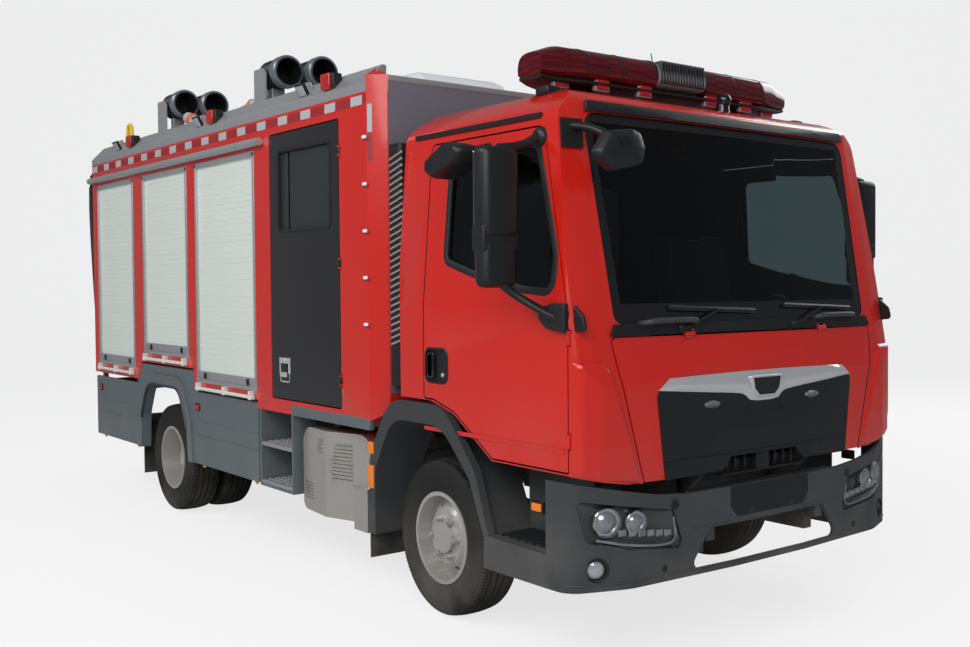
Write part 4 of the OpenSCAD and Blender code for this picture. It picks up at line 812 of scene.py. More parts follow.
def round_loop(outline, radii, steps=7):
    """A closed outline with its corners turned into arcs."""
    if np.isscalar(radii):
        radii = [radii] * len(outline)
    line = []
    for before, here, after, r in zip(outline[-1:] + outline[:-1], outline, outline[1:] + outline[:1], radii):
        line += list(arced([(*before, 0), (*here, r), (*after, 0)], steps)[1:-1])
    return np.array(line)


lamp_bowl, start, shader = finish_of("lamp_bowl", (0.15, 0.15, 0.155), 0.3, 0.6)
give(noise(start, 9.0, 2.0) * 0.2 + 0.22, shader, "Roughness")
orange_lens = finish_of("orange_lens", (0.80, 0.20, 0.010), 0.15, **{"Coat Weight": 0.5})[0]
red_lamp = finish_of("red_lamp", (0.42, 0.010, 0.010), 0.15, **{"Coat Weight": 0.6})[0]
clear_lens = finish_of("clear_lens", (0.42, 0.44, 0.46), 0.05, 0.3, **{"Coat Weight": 1.0})[0]
mirror_bowl = finish_of("reflector", (0.70, 0.71, 0.73), 0.16, 1.0)[0]

cover_glass = finish_of("lamp_cover", (0.95, 0.97, 1.0), 0.02, **{"Transmission Weight": 1.0, "IOR": 1.12})[0]
piece("headlamp_covers", both_sides(lamp_field(0.995, -0.001, 0.0)), cover_glass, "root",
      slot="lamp_clear", turn=True)
made = piece("headlamp_bowls", both_sides(lamp_field(0.985, -0.014, 0.030)), lamp_bowl, "root",
             slot="lamp_clear", turn=True)
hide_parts("front_lamps")
lens_parts, bowl_parts, turn_parts, strip_parts = [], [], [], []
for y, z, r in ((0.962, 0.652, 0.056), (0.826, 0.640, 0.046)):
    x = float(bumper_x(y)) - 0.036
    ahead = Vector((1, 0.30 if y > 0.9 else 0.14, 0)).normalized()
    bowl_parts.append(turned([(r * 1.10, 0.004), (r * 1.22, 0.014), (r * 1.14, 0.018), (r * 1.02, 0.006)],
                             (x, y, z), ahead, 40))
    lens_parts.append(turned([(0.001, 0.026), (r * 0.4, 0.023), (r * 0.75, 0.013), (r, 0.0), (r, -0.01)],
                             (x, y, z), ahead, 40))
for k in range(6):
    y = 0.650 + k * 0.050
    foot_z = 0.528 + k * 0.006
    turn_parts.append(block((float(bumper_x(y)) - 0.032, y - 0.022, foot_z + 0.030),
                            (float(bumper_x(y)) - 0.020, y + 0.022, foot_z + 0.060), 0.004))
STRIP = [(0.630, 0.640), (0.608, 0.530), (0.700, 0.524), (0.880, 0.549), (1.020, 0.582)]
strip_line = np.array([(float(bumper_x(y)) - 0.010, y, z) for y, z in smoothed(STRIP, 3)])
strip_parts.append(swept(strip_line, ring(0.0065, 10)))
piece("headlamp_lenses", both_sides(*lens_parts), clear_lens, "root", slot="lamp_clear", turn=True)
piece("headlamp_rings", both_sides(*bowl_parts), mirror_bowl, "root", slot="lamp_clear", turn=True)
piece("daylight_strips", both_sides(*strip_parts), clear_lens, "root", slot="lamp_clear", turn=True)
piece("turn_lamps", both_sides(*turn_parts), clear_lens, "root", slot="lamp_clear", turn=True)
fog_y, fog_z = 1.020, 0.455
fog_x = float(bumper_x(fog_y)) - 0.012
fog_way = (1, 0.55, 0)
FOG_LENS = [(0.001, 0.014), (0.024, 0.011), (0.040, 0.002), (0.041, -0.01)]
FOG_RING = [(0.041, 0.0), (0.043, 0.014), (0.052, 0.016), (0.055, 0.004), (0.055, -0.01)]
piece("fog_lenses", both_sides(turned(FOG_LENS, (fog_x - 0.004, fog_y, fog_z), fog_way, 36)), clear_lens,
      "root", slot="lamp_clear", turn=True)
piece("fog_rings", both_sides(turned(FOG_RING, (fog_x, fog_y, fog_z), fog_way, 36)), plastic_black,
      "root", slot="bumper_plastic", turn=True)

PLATE_X = float(bumper_x(0)) - 0.005
PLATE = [(-0.235, 0.590), (0.235, 0.590), (0.283, 0.640), (0.283, 0.738), (-0.283, 0.738), (-0.283, 0.640)]
piece("plate_field", slab(PLATE, PLATE_X - 0.004, PLATE_X + 0.006, "x"),
      plastic_black, "root", slot="bumper_plastic", bevel=0.004)
slots = [block((PLATE_X, y - 0.028, 0.606), (PLATE_X + 0.0075, y + 0.028, 0.614), 0.002)
         for y in (-0.150, 0.150)]
piece("plate_slots", joined(slots), gloss_black, "root", slot="bumper_plastic", turn=True)
bolts = [turned([(0.001, 0.002), (0.007, 0.002), (0.009, 0)], (PLATE_X + 0.006, y, 0.690), (1, 0, 0), 12)
         for y in (-0.20, 0.20)]
TOW_COVERS = ((0.627, 0.697, 0.022), (-0.627, 0.697, 0.022), (0.688, 0.420, 0.013), (-0.688, 0.420, 0.013))
bolts += [turned([(0.0001, 0.003), (r, 0.003), (r + 0.002, 0)], (float(bumper_x(y)), y, z),
                 (1, 0.1 * np.sign(y), 0), 24) for y, z, r in TOW_COVERS]
piece("bumper_bolts", joined(bolts), plastic_black, "root", slot="bumper_plastic", turn=True)
# moulded lines run round the bumper under the lamps and along its lip
crease_y = np.linspace(-1.140, 1.140, 120)
for name, z, reach in (("bumper_line_high", 0.577, 0.545), ("bumper_line_low", 0.392, 1.2)):
    path = np.stack([bumper_x(crease_y) + 0.0005, crease_y, 0 * crease_y + z], 1)[np.abs(crease_y) < reach]
    piece(name, swept(path, ring(0.004, 8)), plastic_grey, "root", slot="bumper_plastic", turn=True)
treads = [block((1.195 + k * 0.012, -0.50, 0.736), (1.202 + k * 0.012, 0.50, 0.741), 0.002) for k in range(5)]
piece("bumper_tread", joined(treads), plastic_black, "root", slot="bumper_plastic", turn=True)

# Cab doors
# Pressed steel doors with a rubber seal round the drop glass, a black handle cup with a gloss black
# pull and a chrome lock, a gutter trim above, two pressed lines and a black sill lip.
DOOR_WINDOW = [(0.150, 1.792), (0.398, 1.728), (0.790, 1.655), (1.000, 1.640), (1.016, 1.800),
               (0.845, 2.305), (0.160, 2.305)]
WINDOW_RADII = (0.05, 0.20, 0.06, 0.06, 0.20, 0.06, 0.06)


def loop_on_side(loop, lift, section, place_y):
    """A section carried round a closed loop of (x, z) on a side wall."""
    loop = np.asarray(loop, float)
    path = np.stack([loop[:, 0], place_y(loop[:, 0], loop[:, 1]) + lift, loop[:, 1]], 1)
    way = np.roll(path, -1, 0) - np.roll(path, 1, 0)
    way /= np.linalg.norm(way, axis=1)[:, None]
    outward = np.broadcast_to([0.0, 1.0, 0.0], path.shape)
    across = np.cross(way, outward)
    across /= np.linalg.norm(across, axis=1)[:, None]
    section = np.asarray(section, float)
    points = path[:, None] + section[None, :, :1] * across[:, None] + section[None, :, 1:] * outward[:, None]
    return points.reshape(-1, 3), grid_faces(len(path), len(section), True, True)


def door_y(x, z):
    """The cab's side wall at a height."""
    return skin_y(np.asarray(z)) + 0 * np.asarray(x)


seal_rubber = finish_of("seal_rubber", (0.014, 0.014, 0.015), 0.55)[0]
window_loop = round_loop(DOOR_WINDOW, WINDOW_RADII)
SEAL = [(-0.016, -0.012), (0.016, -0.012), (0.018, 0.001), (0.010, 0.006), (-0.010, 0.006), (-0.018, 0.001)]
seal = loop_on_side(window_loop, 0.0, SEAL, door_y)
cup = round_loop([(-0.010, 1.195), (0.190, 1.195), (0.190, 1.365), (-0.010, 1.365)], 0.04)
cup_rim = loop_on_side(cup, 0.0, [(-0.005, -0.012), (0.006, -0.012), (0.006, 0.002), (0.0, 0.004),
                                  (-0.005, 0.001)], door_y)
cup_floor = slab(cup, 1.1065, 1.1095, "y")
pull = block((0.008, 1.108, 1.215), (0.070, 1.128, 1.345), 0.010)
key = turned([(0.0001, 0.004), (0.010, 0.004), (0.012, 0)], (0.130, 1.1095, 1.235), (0, 1, 0), 20)
CREASE = [(-0.004, -0.010), (0.003, -0.002), (0.003, 0.004), (-0.004, 0.010)]
for side, sign in (("left", 1), ("right", -1)):
    body = "cab_door_" + side
    own = (lambda shape: shape) if sign > 0 else mirrored
    piece("window_seal_" + side, own(seal), seal_rubber, body, slot="black_plastic", turn=True)
    piece("handle_cup_" + side, own(joined([cup_rim, cup_floor])), plastic_black, body,
          slot="black_plastic", turn=True)
    piece("handle_pull_" + side, own(joined([pull])), gloss_black, body, slot="black_plastic", turn=True)
    piece("door_lock_" + side, own(key), chrome, body, turn=True)
    crease = [(-0.020, 0.965), (0.50, 0.965), (1.085, 0.965)]
    line = np.array([[x, 1.1195, z] for x, z in smoothed(crease, 1)])
    piece("door_crease_" + side, own(swept(line, CREASE)), red_paint, body, slot="red_paint", turn=True)

gutter_x = np.linspace(-0.180, 0.860, 30)
gutter = np.stack([gutter_x, skin_y(2.425) + 0.0 * gutter_x + 0.004, 2.425 + 0 * gutter_x], 1)
GUTTER = [(-0.008, -0.010), (0.010, -0.008), (0.012, 0.010), (-0.008, 0.013)]
piece("gutters", both_sides(swept(gutter, GUTTER)), plastic_black, "cab", slot="black_plastic", turn=True)

# Corner panels
# Pressed red panels wrap the cab's front corners between the lid and the doors. Each stands a
# little proud, its inner edge slants with the lid and flares outwards at its foot.
PANEL_TOP, PANEL_FOOT = 1.345, 0.803
PANEL_EDGE = np.array([(0.803, 0.780), (0.850, 0.800), (0.914, 0.815), (1.298, 0.952), (1.330, 0.972),
                       (1.345, 1.000)])


def corner_panel(rows=44, columns=30):
    """Rows run from the slanting inner edge to the door gap and columns from the cab's lower
    edge to the top. The lift before the skin rises to 10 mm within 22 mm of an edge, and is
    4 mm more above a soft crease at bumper height."""
    t, s = np.linspace(0, 1, rows)[:, None], np.linspace(0, 1, columns)[None, :]
    level_z = PANEL_FOOT + t * (PANEL_TOP - PANEL_FOOT)
    inner = np.interp(level_z, PANEL_EDGE[:, 0], PANEL_EDGE[:, 1])
    y = inner + (1.1185 - inner) * s ** 0.9
    low = np.interp(y, [0.70, 1.00, 1.12], [0.788, 0.840, 0.868])
    z = low + t * (PANEL_TOP - low)
    near = np.minimum(np.minimum(s * (1.1185 - inner), t * 0.5), (1 - t) * 0.5)
    rise = np.sin(np.clip(near / 0.022, 0, 1) * math.pi / 2)
    lift = 0.0012 + 0.010 * rise + 0.004 * np.clip((z - 0.945) / 0.030, 0, 1) * rise
    x = skin_x(np.minimum(y, 1.1185), z)
    front = np.stack([x + lift, y + 0.004 * s, z], -1)
    return walled(front, front - np.stack([lift + 0.006, 0.006 * s + 0 * y, 0 * y], -1))


piece("corner_panels", both_sides(corner_panel()), red_paint, "cab", 50, slot="red_paint", turn=True)

# Light bar
# A full-width warning bar of dark red domes that taper to its ends, with a slatted silver speaker
# in the middle, square red lamps under it, two feet, a camera ball, corner boxes and an aerial.
BAR_UNIT = [(0.03, 0.10), (0.0, 0.38), (0.07, 0.80), (0.28, 0.98), (0.70, 1.0), (0.92, 0.84), (1.0, 0.48),
            (0.98, 0.10), (0.78, 0.0), (0.24, 0.0)]
BAR_BACK = [(0, 0.330), (0.640, 0.330), (0.880, 0.450)]
BAR_AHEAD = [(0, 0.698), (0.640, 0.694), (0.880, 0.640)]
BAR_UNDER = [(0, 2.632), (0.800, 2.632), (0.880, 2.648)]
BAR_OVER = [(0, 2.824), (0.760, 2.820), (0.880, 2.776)]


def bar_skin(y0, y1, count=12, grow=0.0, foot=0.0, head=1.0):
    """The bar's unit section stretched at each y between its back and front lines and, from foot
    to head of the way, between its under and upper lines; grow widens it about its middle."""
    section = smoothed(BAR_UNIT + BAR_UNIT[:1], 2)[:-1]
    y = np.linspace(y0, y1, count)
    back, ahead, under, over = [np.interp(np.abs(y), *np.array(line).T)[:, None]
                                for line in (BAR_BACK, BAR_AHEAD, BAR_UNDER, BAR_OVER)]
    u, w = (section[None, :, 0] - 0.5) * (1 + grow) + 0.5, foot + (head - foot) * section[None, :, 1]
    x = back + (ahead - back) * u
    z = under + (over - under) * w
    points = np.stack([x, np.repeat(y[:, None], len(section), 1), z], -1).reshape(-1, 3)
    n = len(section)
    faces = grid_faces(count, n, False, True)
    return points, faces + [list(range(n))[::-1], [(count - 1) * n + k for k in range(n)]]


DOMES = [(0.180, 0.404), (0.412, 0.636), (0.644, 0.878)]
made = piece("warning_domes", both_sides(*[bar_skin(a, b, 12, -0.012, 0.10, 0.99) for a, b in DOMES]),
             red_lens, "cab", slot="red_lens", turn=True)
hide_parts("light_bar")
seams = [bar_skin(a, a + 0.008, 2, -0.002, 0.10, 1.0) for a in (0.404, 0.636)]
seams += [bar_skin(0.172, 0.180, 2, -0.002, 0.2, 1.0), bar_skin(0.0, 0.876, 16, -0.10, 0.0, 0.20),
          bar_skin(0.176, 0.879, 16, -0.004, 0.50, 0.535)]
foot = block((0.425, 0.502, 2.560), (0.595, 0.578, 2.650), 0.008)
rail = block((0.420, 0.0, 2.636), (0.640, 0.700, 2.650), 0.004)
piece("bar_frame", both_sides(*seams, foot, rail), plastic_black, "cab", slot="black_plastic", turn=True)
piece("speaker_box", joined([bar_skin(-0.172, 0.172, 6, -0.012, 0.20, 0.98)]), rail_alloy, "cab",
      slot="rail_alu", turn=True)
louvres = [block((0.560, y - 0.003, 2.690), (0.6995, y + 0.003, 2.8045), 0.002)
           for y in np.linspace(-0.150, 0.150, 16)]
piece("speaker_louvres", joined(louvres), chassis_black, "cab", slot="rail_alu", turn=True)
LOW_LAMPS = ((0.240, 0.672), (0.520, 0.668), (0.745, 0.628))
low_lamps = [block((x - 0.030, y - 0.040, 2.618), (x, y + 0.040, 2.690), 0.006) for y, x in LOW_LAMPS]
lamp_frames = [block((x - 0.034, y - 0.048, 2.611), (x - 0.006, y + 0.048, 2.695), 0.006)
               for y, x in LOW_LAMPS]
piece("low_warning_lamps", both_sides(*low_lamps), red_lamp, "cab", slot="red_lens", turn=True)
piece("low_lamp_frames", both_sides(*lamp_frames), rail_alloy, "cab", slot="rail_alu", turn=True)
ball = turned([(0.0001, 0.036), (0.018, 0.031), (0.031, 0.018), (0.036, 0.0), (0.031, -0.018),
               (0.026, -0.03)], (0.79, 0.21, 2.628), (0.3, 0, 1), 24)
ball_foot = turned([(0.0001, 0.050), (0.034, 0.050), (0.040, 0.0)], (0.775, 0.21, 2.556), (0, 0, 1), 24)
aerial = [swept([(0.10, 0.42, 2.592), (0.08, 0.42, 2.75), (0.02, 0.42, 3.02)], ring(0.0035, 8)),
          turned([(0.0001, 0.03), (0.018, 0.024), (0.026, 0)], (0.10, 0.42, 2.588), (0, 0, 1), 20)]
piece("roof_camera", joined([ball, ball_foot]), gloss_black, "cab", slot="black_plastic", turn=True)
piece("roof_corner_boxes", both_sides(block((0.640, 0.840, 2.552), (0.735, 0.920, 2.592), 0.008)),
      plastic_black, "cab", slot="black_plastic", turn=True)
piece("aerial", joined(aerial), plastic_black, "cab", slot="black_plastic", turn=True)

# Mirrors
# Each door carries a tall black housing with a main and a wide-angle glass behind it, on a thick
# upper arm and a long lower arm with a broad foot; the right door also has a kerb mirror over its
# window, and a close-view mirror hangs in front of the screen.
silver_glass = finish_of("mirror_glass", (0.75, 0.78, 0.80), 0.04, 1.0)[0]


def housing(low, high, bulge, r=0.03):
    """A mirror housing: a round-edged block whose front half swells forwards in the middle."""
    points, faces = block(low, high, r, 5)
    middle, half = (np.array(low) + high) / 2, (np.array(high) - low) / 2
    off = (points - middle) / half
    swell = bulge * (1 - 0.55 * off[:, 1] ** 2) * (1 - 0.35 * off[:, 2] ** 2)
    points[:, 0] += np.where(off[:, 0] > 0, swell, 0)
    return points, faces


def cushion(outline, radii, middle, thick, crown):
    """A plate with a swollen face: rings of the outline shrink towards its middle, and the height
    over the rim grows as a quarter circle does, up to thick and crown."""
    loop = round_loop(outline, radii)
    centre = loop.mean(0)
    scale = np.array([1.0, 1.0, 0.985, 0.95, 0.85, 0.6, 0.3, 0.02])
    rise = np.array([0.0, 0.55, 0.78, 0.92, 1.0, 1.0, 1.0, 1.0]) * thick + crown * (1 - scale ** 2)
    flat = centre + (loop[None] - centre) * scale[:, None, None]
    lifted = middle + (rise[:, None] + 0 * flat[..., 0])
    n = len(loop)
    faces = grid_faces(len(scale), n, False, True)
    faces += [list(range(n))[::-1], [(len(scale) - 1) * n + k for k in range(n)]]
    return flat, lifted, faces


heads = [block((0.803, 1.205, 1.820), (0.893, 1.396, 1.930), 0.010),
         housing((0.802, 1.202, 1.876), (0.896, 1.398, 2.268), 0.018, 0.036),
         housing((0.806, 1.208, 1.664), (0.888, 1.394, 1.874), 0.014, 0.034)]
glasses = [block((0.7985, 1.222, 1.900), (0.8055, 1.382, 2.250), 0.003),
           block((0.8025, 1.226, 1.684), (0.8095, 1.378, 1.858), 0.003)]
FOOT = [(0.990, 1.486), (1.117, 1.470), (1.117, 1.596), (1.034, 1.598), (0.950, 1.580), (0.925, 1.535)]
foot_flat, foot_y, foot_faces = cushion(FOOT, (0.03, 0.004, 0.004, 0.03, 0.04, 0.03), 1.121, 0.024, 0.010)
mirror_foot = (np.stack([foot_flat[..., 0], foot_y, foot_flat[..., 1]], -1).reshape(-1, 3), foot_faces)
low_arm = swept(smoothed([(0.855, 1.290, 1.690), (0.880, 1.236, 1.640), (0.940, 1.180, 1.590),
                          (1.010, 1.146, 1.552), (1.050, 1.128, 1.535)], 3), ring(0.030, 16, 0.62))
top_arm = swept(smoothed([(0.860, 1.290, 2.262), (0.862, 1.210, 2.272), (0.860, 1.140, 2.290),
                          (0.860, 1.066, 2.336)], 3), ring(0.026, 16, 0.8))
boss = turned([(0.0001, 0.030), (0.030, 0.026), (0.044, 0.012), (0.048, -0.02)], (0.860, 1.060, 2.330),
              (0, 1, 0.19), 24)
arms = [low_arm, top_arm, boss, mirror_foot]
for side, sign in (("left", 1), ("right", -1)):
    own = (lambda shape: shape) if sign > 0 else mirrored
    made = piece("mirror_housings_" + side, own(joined(heads + arms)), plastic_black, "cab_door_" + side,
                 45, slot="black_plastic", turn=True)
    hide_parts("mirror_" + side)
    piece("mirror_glasses_" + side, own(joined(glasses)), silver_glass, "cab_door_" + side, slot="glass",
          turn=True)

# the screen pillar's half of the foot, across the door gap, and the cover at the pillar's top
PILLAR_FOOT = [(1.126, 1.474), (1.205, 1.478), (1.186, 1.545), (1.126, 1.590)]
half_flat, half_y, half_faces = cushion(PILLAR_FOOT, (0.004, 0.02, 0.03, 0.004), 1.086, 0.014, 0.002)
pillar_foot = (np.stack([half_flat[..., 0], half_y, half_flat[..., 1]], -1).reshape(-1, 3), half_faces)
piece("mirror_foot_covers", both_sides(pillar_foot), plastic_black, "cab", 45, slot="black_plastic",
      turn=True)
KERB = [(0.292, 2.196), (0.350, 2.168), (0.560, 2.226), (0.600, 2.300), (0.470, 2.330), (0.292, 2.250)]
kerb_loop = round_loop(KERB, (0.024, 0.024, 0.030, 0.030, 0.020, 0.024))
kerb_line = np.linspace(-1.318, -1.152, 14)
pinch = 1 - 0.16 * (np.abs(kerb_line + 1.235) / 0.083) ** 4
kerb_flat = kerb_loop.mean(0) + (kerb_loop[None] - kerb_loop.mean(0)) * pinch[:, None, None]
kerb_y = kerb_line[:, None] + 0 * kerb_flat[..., 0]
kerb_points = np.stack([kerb_flat[..., 0], kerb_y, kerb_flat[..., 1]], -1).reshape(-1, 3)
n = len(kerb_loop)
kerb_faces = grid_faces(len(kerb_line), n, False, True)
kerb_faces += [list(range(n))[::-1], [(len(kerb_line) - 1) * n + k for k in range(n)]]
KERB_ARM = [(0.470, -1.220, 2.285), (0.470, -1.120, 2.312), (0.470, -1.036, 2.334)]
kerb = [(kerb_points, kerb_faces), swept(KERB_ARM, ring(0.020, 14, 0.7))]
piece("kerb_mirror", joined(kerb), plastic_black, "cab_door_right", 50, slot="black_plastic", turn=True)

CLOSE_VIEW = [(-1.056, 2.222), (-0.960, 2.154), (-0.790, 2.190), (-0.774, 2.262), (-0.800, 2.326),
              (-0.850, 2.343), (-0.985, 2.326)]
head_flat, head_x, head_faces = cushion(CLOSE_VIEW, (0.03, 0.03, 0.04, 0.03, 0.03, 0.03, 0.03), 1.184,
                                        0.052, 0.022)
close_head = (np.stack([head_x, head_flat[..., 0], head_flat[..., 1]], -1).reshape(-1, 3), head_faces)
patch = block((1.2585, -0.945, 2.262), (1.2605, -0.885, 2.300), 0.001)
close_arm = swept(smoothed([(0.950, -0.995, 2.372), (1.010, -0.985, 2.366), (1.120, -0.970, 2.345),
                            (1.200, -0.950, 2.300)], 3), ring(0.024, 16, 0.8))
cover_y = np.linspace(0, 1, 12)[:, None]
cover_z = np.linspace(2.272, 2.402, 9)[None, :]
cover_side = 1.058 - (cover_z - 2.272) * 0.10 - cover_y * 0.110
cover_up = cover_z + 0 * cover_side
cover_front = np.stack([skin_x(cover_side, cover_z) + 0.012, -cover_side - 0.004, cover_up], -1)
cover = walled(cover_front, cover_front - [0.018, -0.006, 0])
made = piece("front_mirror", joined([close_head, close_arm, cover]), plastic_black, "cab", 45,
             slot="black_plastic", turn=True)
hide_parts("cab_trim")
piece("front_mirror_patch", patch, gloss_black, "cab", slot="black_plastic", turn=True)

# Body tape and roof edge
# Bands of reflective tape, grey-white and dark red by turns, run along the eaves, down the tail
# and down the top of the front corners.
BODY_Y, BODY_FRONT, BODY_REAR = 1.150, -0.520, -5.210
tape_white, start, shader = finish_of("tape_white", (0.40, 0.41, 0.41), 0.45)
give(noise(start, 60, 2.0) * 0.15 + 0.35, shader, "Roughness")
tape_red = finish_of("tape_red", (0.30, 0.015, 0.020), 0.45)[0]


def tape_run(first, last, low, high, pitch, y):
    """Two lists of thin blocks along x between two heights, by turns."""
    pale, dark = [], []
    for a in np.arange(first, last, pitch):
        for run, start_x, end_x in ((pale, a, a + 0.42 * pitch), (dark, a + 0.42 * pitch, a + pitch)):
            if start_x < last - 0.02:
                end_x = min(end_x, last)
                outline = [(start_x, low), (end_x, low), (end_x, high), (start_x, high)]
                run.append(slab(outline, y, y + 0.0012, "y"))
    return pale, dark


pale, dark = tape_run(BODY_REAR + 0.02, BODY_FRONT - 0.01, 2.642, 2.692, 0.300, BODY_Y)
piece("side_tape_white", both_sides(*pale), tape_white, "root", turn=True)
piece("side_tape_red", both_sides(*dark), tape_red, "root", turn=True)
pale, dark = [], []
for k in range(2):
    z = 2.640 - 0.150 * k
    way = np.array([0.080, -0.080]) / math.hypot(0.080, 0.080)
    a = np.array([BODY_FRONT, BODY_Y]) + way * 0.004 + np.array([0.0008, 0.0008])
    b = a + way * 0.026
    shape = slab([(a[0], a[1]), (b[0], b[1]), (b[0] - 0.0006, b[1] - 0.0006),
                  (a[0] - 0.0006, a[1] - 0.0006)], z - 0.150, z, "z")
    (dark if k else pale).append(shape)
piece("corner_tape_white", both_sides(*pale), tape_white, "root", turn=True)
piece("corner_tape_red", both_sides(*dark), tape_red, "root", turn=True)
# rear: tape round the edge of the tail
pale, dark = [], []
for k in range(15):
    z = 1.02 + 0.108 * k
    shape = slab([(1.085, z), (1.135, z), (1.135, z + 0.104), (1.085, z + 0.104)], BODY_REAR - 0.0013,
                 BODY_REAR, "x")
    (pale if k % 2 else dark).append(shape)
piece("rear_tape_white", both_sides(*pale), tape_white, "root", turn=True)
piece("rear_tape_red", both_sides(*dark), tape_red, "root", turn=True)

# Shutter rails and clips
# Each opening has anodised guide rails at its sides, a housing cap above and a lift bar below with
# black clips. The curtains themselves are the CAD slats.
LOCKERS = [(-5.087, -4.202, 1.061, 2.524), (-3.988, -3.083, 1.189, 2.524), (-2.930, -1.947, 1.032, 2.524)]
guides, clips = [], []
for x0, x1, z0, z1 in LOCKERS:
    for x in (x0, x1 - 0.026):
        guides.append(block((x, BODY_Y - 0.030, z0), (x + 0.026, BODY_Y + 0.004, z1), 0.003))
    guides.append(block((x0, BODY_Y - 0.030, z1 - 0.030), (x1, BODY_Y + 0.004, z1 + 0.004), 0.003))
    guides.append(block((x0 - 0.004, BODY_Y - 0.060, z0 - 0.020),
                        (x1 + 0.004, BODY_Y + 0.006, z0 + 0.004), 0.003))
    guides.append(block((x0 + 0.03, BODY_Y - 0.024, z0 + 0.004), (x1 - 0.03, BODY_Y - 0.004, z0 + 0.060),
                        0.004))
    for x in (x0 + 0.12, x1 - 0.16):
        clips.append(block((x, BODY_Y - 0.010, z0 + 0.010), (x + 0.035, BODY_Y + 0.004, z0 + 0.050), 0.005))
piece("shutter_guides", both_sides(*guides), rail_alloy, "root", slot="rail_alu", turn=True)
piece("shutter_clips", both_sides(*clips), plastic_black, "root", slot="black_plastic", turn=True)
rear_guides = []
for y in (-0.900, 0.874):
    rear_guides.append(block((BODY_REAR - 0.004, y, 1.061), (BODY_REAR + 0.03, y + 0.026, 2.420), 0.003))
rear_guides.append(block((BODY_REAR - 0.006, -0.90, 2.392), (BODY_REAR + 0.03, 0.90, 2.424), 0.003))
rear_guides.append(block((BODY_REAR - 0.006, -0.90, 1.041), (BODY_REAR + 0.03, 0.90, 1.066), 0.003))
rear_guides.append(bar((BODY_REAR - 0.028, -0.80, 1.12), (BODY_REAR - 0.028, 0.80, 1.12), 0.012))
rear_guides += [block((BODY_REAR - 0.036, y - 0.012, 1.10), (BODY_REAR + 0.02, y + 0.012, 1.14), 0.004)
                for y in (-0.78, 0.0, 0.78)]
piece("rear_shutter_guides", joined(rear_guides), rail_alloy, "root", slot="rail_alu", turn=True)

# Crew doors
# Flush black doors with a window set back in a rubber frame, a bar down its pane, and a chrome
# handle plate with a dark cup. Five white marker lamps stand on the pillar beside each door.
CREW_WINDOW = [(-1.608, 2.006), (-0.942, 2.006), (-0.942, 2.489), (-1.608, 2.489)]
FRAME = [(-0.012, -0.030), (0.010, -0.030), (0.010, 0.001), (0.004, 0.003), (-0.012, 0.002)]
DISH = [(-0.004, -0.012), (0.005, -0.012), (0.005, 0.001), (-0.004, 0.002)]


def upright(x, z):
    """The body's side wall, which is upright: it adds nothing to the lift at x and z."""
    return 0 * x


surround = loop_on_side(round_loop(CREW_WINDOW, 0.03), BODY_Y, FRAME, upright)
slider = block((-1.500, BODY_Y - 0.030, 2.012), (-1.478, BODY_Y - 0.018, 2.483), 0.003)
dish = round_loop([(-1.600, 1.100), (-1.480, 1.100), (-1.480, 1.220), (-1.600, 1.220)], 0.014)
plate = block((-1.612, BODY_Y - 0.004, 1.150), (-1.468, BODY_Y + 0.0035, 1.245), 0.004)
dish_back = block((-1.592, BODY_Y - 0.002, 1.105), (-1.488, BODY_Y + 0.004, 1.212), 0.003)
dish_rim = loop_on_side(dish, BODY_Y, DISH, upright)
paddle = block((-1.590, BODY_Y + 0.003, 1.128), (-1.500, BODY_Y + 0.012, 1.158), 0.0045)
lock = turned([(0.0001, 0.004), (0.010, 0.004), (0.012, 0)], (-1.54, BODY_Y + 0.003, 1.232), (0, 1, 0), 20)
for side, sign in (("left", 1), ("right", -1)):
    own = (lambda shape: shape) if sign > 0 else mirrored
    body = "crew_door_" + side[0]
    piece("crew_window_frame_" + side, own(joined([surround, slider])), seal_rubber, body,
          slot="black_plastic", turn=True)
    piece("crew_handle_" + side, own(joined([dish_rim, plate, paddle, lock])), chrome, body, turn=True)
    piece("crew_handle_recess_" + side, own(dish_back), gloss_black, body, slot="black_plastic", turn=True)
MARKER_Z = [1.462 + 0.249 * k for k in range(5)]
markers = [block((-0.552, BODY_Y + 0.001, z - 0.002), (-0.514, BODY_Y + 0.0165, z + 0.017), 0.0085, 5)
           for z in MARKER_Z]
seats = [block((-0.560, BODY_Y - 0.002, z - 0.010), (-0.508, BODY_Y + 0.004, z + 0.006), 0.003)
         for z in MARKER_Z]
marker_white = finish_of("marker_white", (0.86, 0.87, 0.88), 0.10, **{"Coat Weight": 0.8})[0]
made = piece("pillar_markers", both_sides(*markers), marker_white, "root", turn=True)
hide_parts("body_lamps")
piece("marker_seats", both_sides(*seats), tape_red, "root", turn=True)

# Front wall, rail ends and air intake
# The wall behind the cab is a mauve-grey sheet with a bright rim. A red gusset closes each roof
# rail over the chamfered corner, and the engine's air comes through slanted slats.
WALL_X, WALL_HALF = -0.4392, 1.066
wall_sheet, start, shader = finish_of("wall_sheet", (0.22, 0.215, 0.26), 0.35, 0.3)
give(noise(start, 1.2, 3.0) * 0.15 + 0.28, shader, "Roughness")
WALL = [(-WALL_HALF, 1.10), (WALL_HALF, 1.10), (WALL_HALF, 2.764), (-WALL_HALF, 2.764)]
piece("front_wall", slab(WALL, WALL_X, WALL_X + 0.0015, "x"), wall_sheet, "root")
wall_rim = block((WALL_X - 0.002, -WALL_HALF, 2.762), (WALL_X + 0.004, WALL_HALF, 2.7925), 0.002)
piece("front_rim", joined([wall_rim]), rail_alloy, "root", slot="rail_alu", turn=True)
chamfer = [(-0.5215, -1.1535), (-0.4355, -1.0675), (-0.4420, -1.0660), (-0.5230, -1.1470)]
gusset = [(-0.5215, -1.153, 2.790), (-0.4360, -1.068, 2.790), (-0.562, -1.060, 2.850),
          (-0.562, -1.146, 2.790)]
gusset_faces = [[0, 1, 2], [0, 2, 3], [1, 3, 2], [0, 3, 1]]
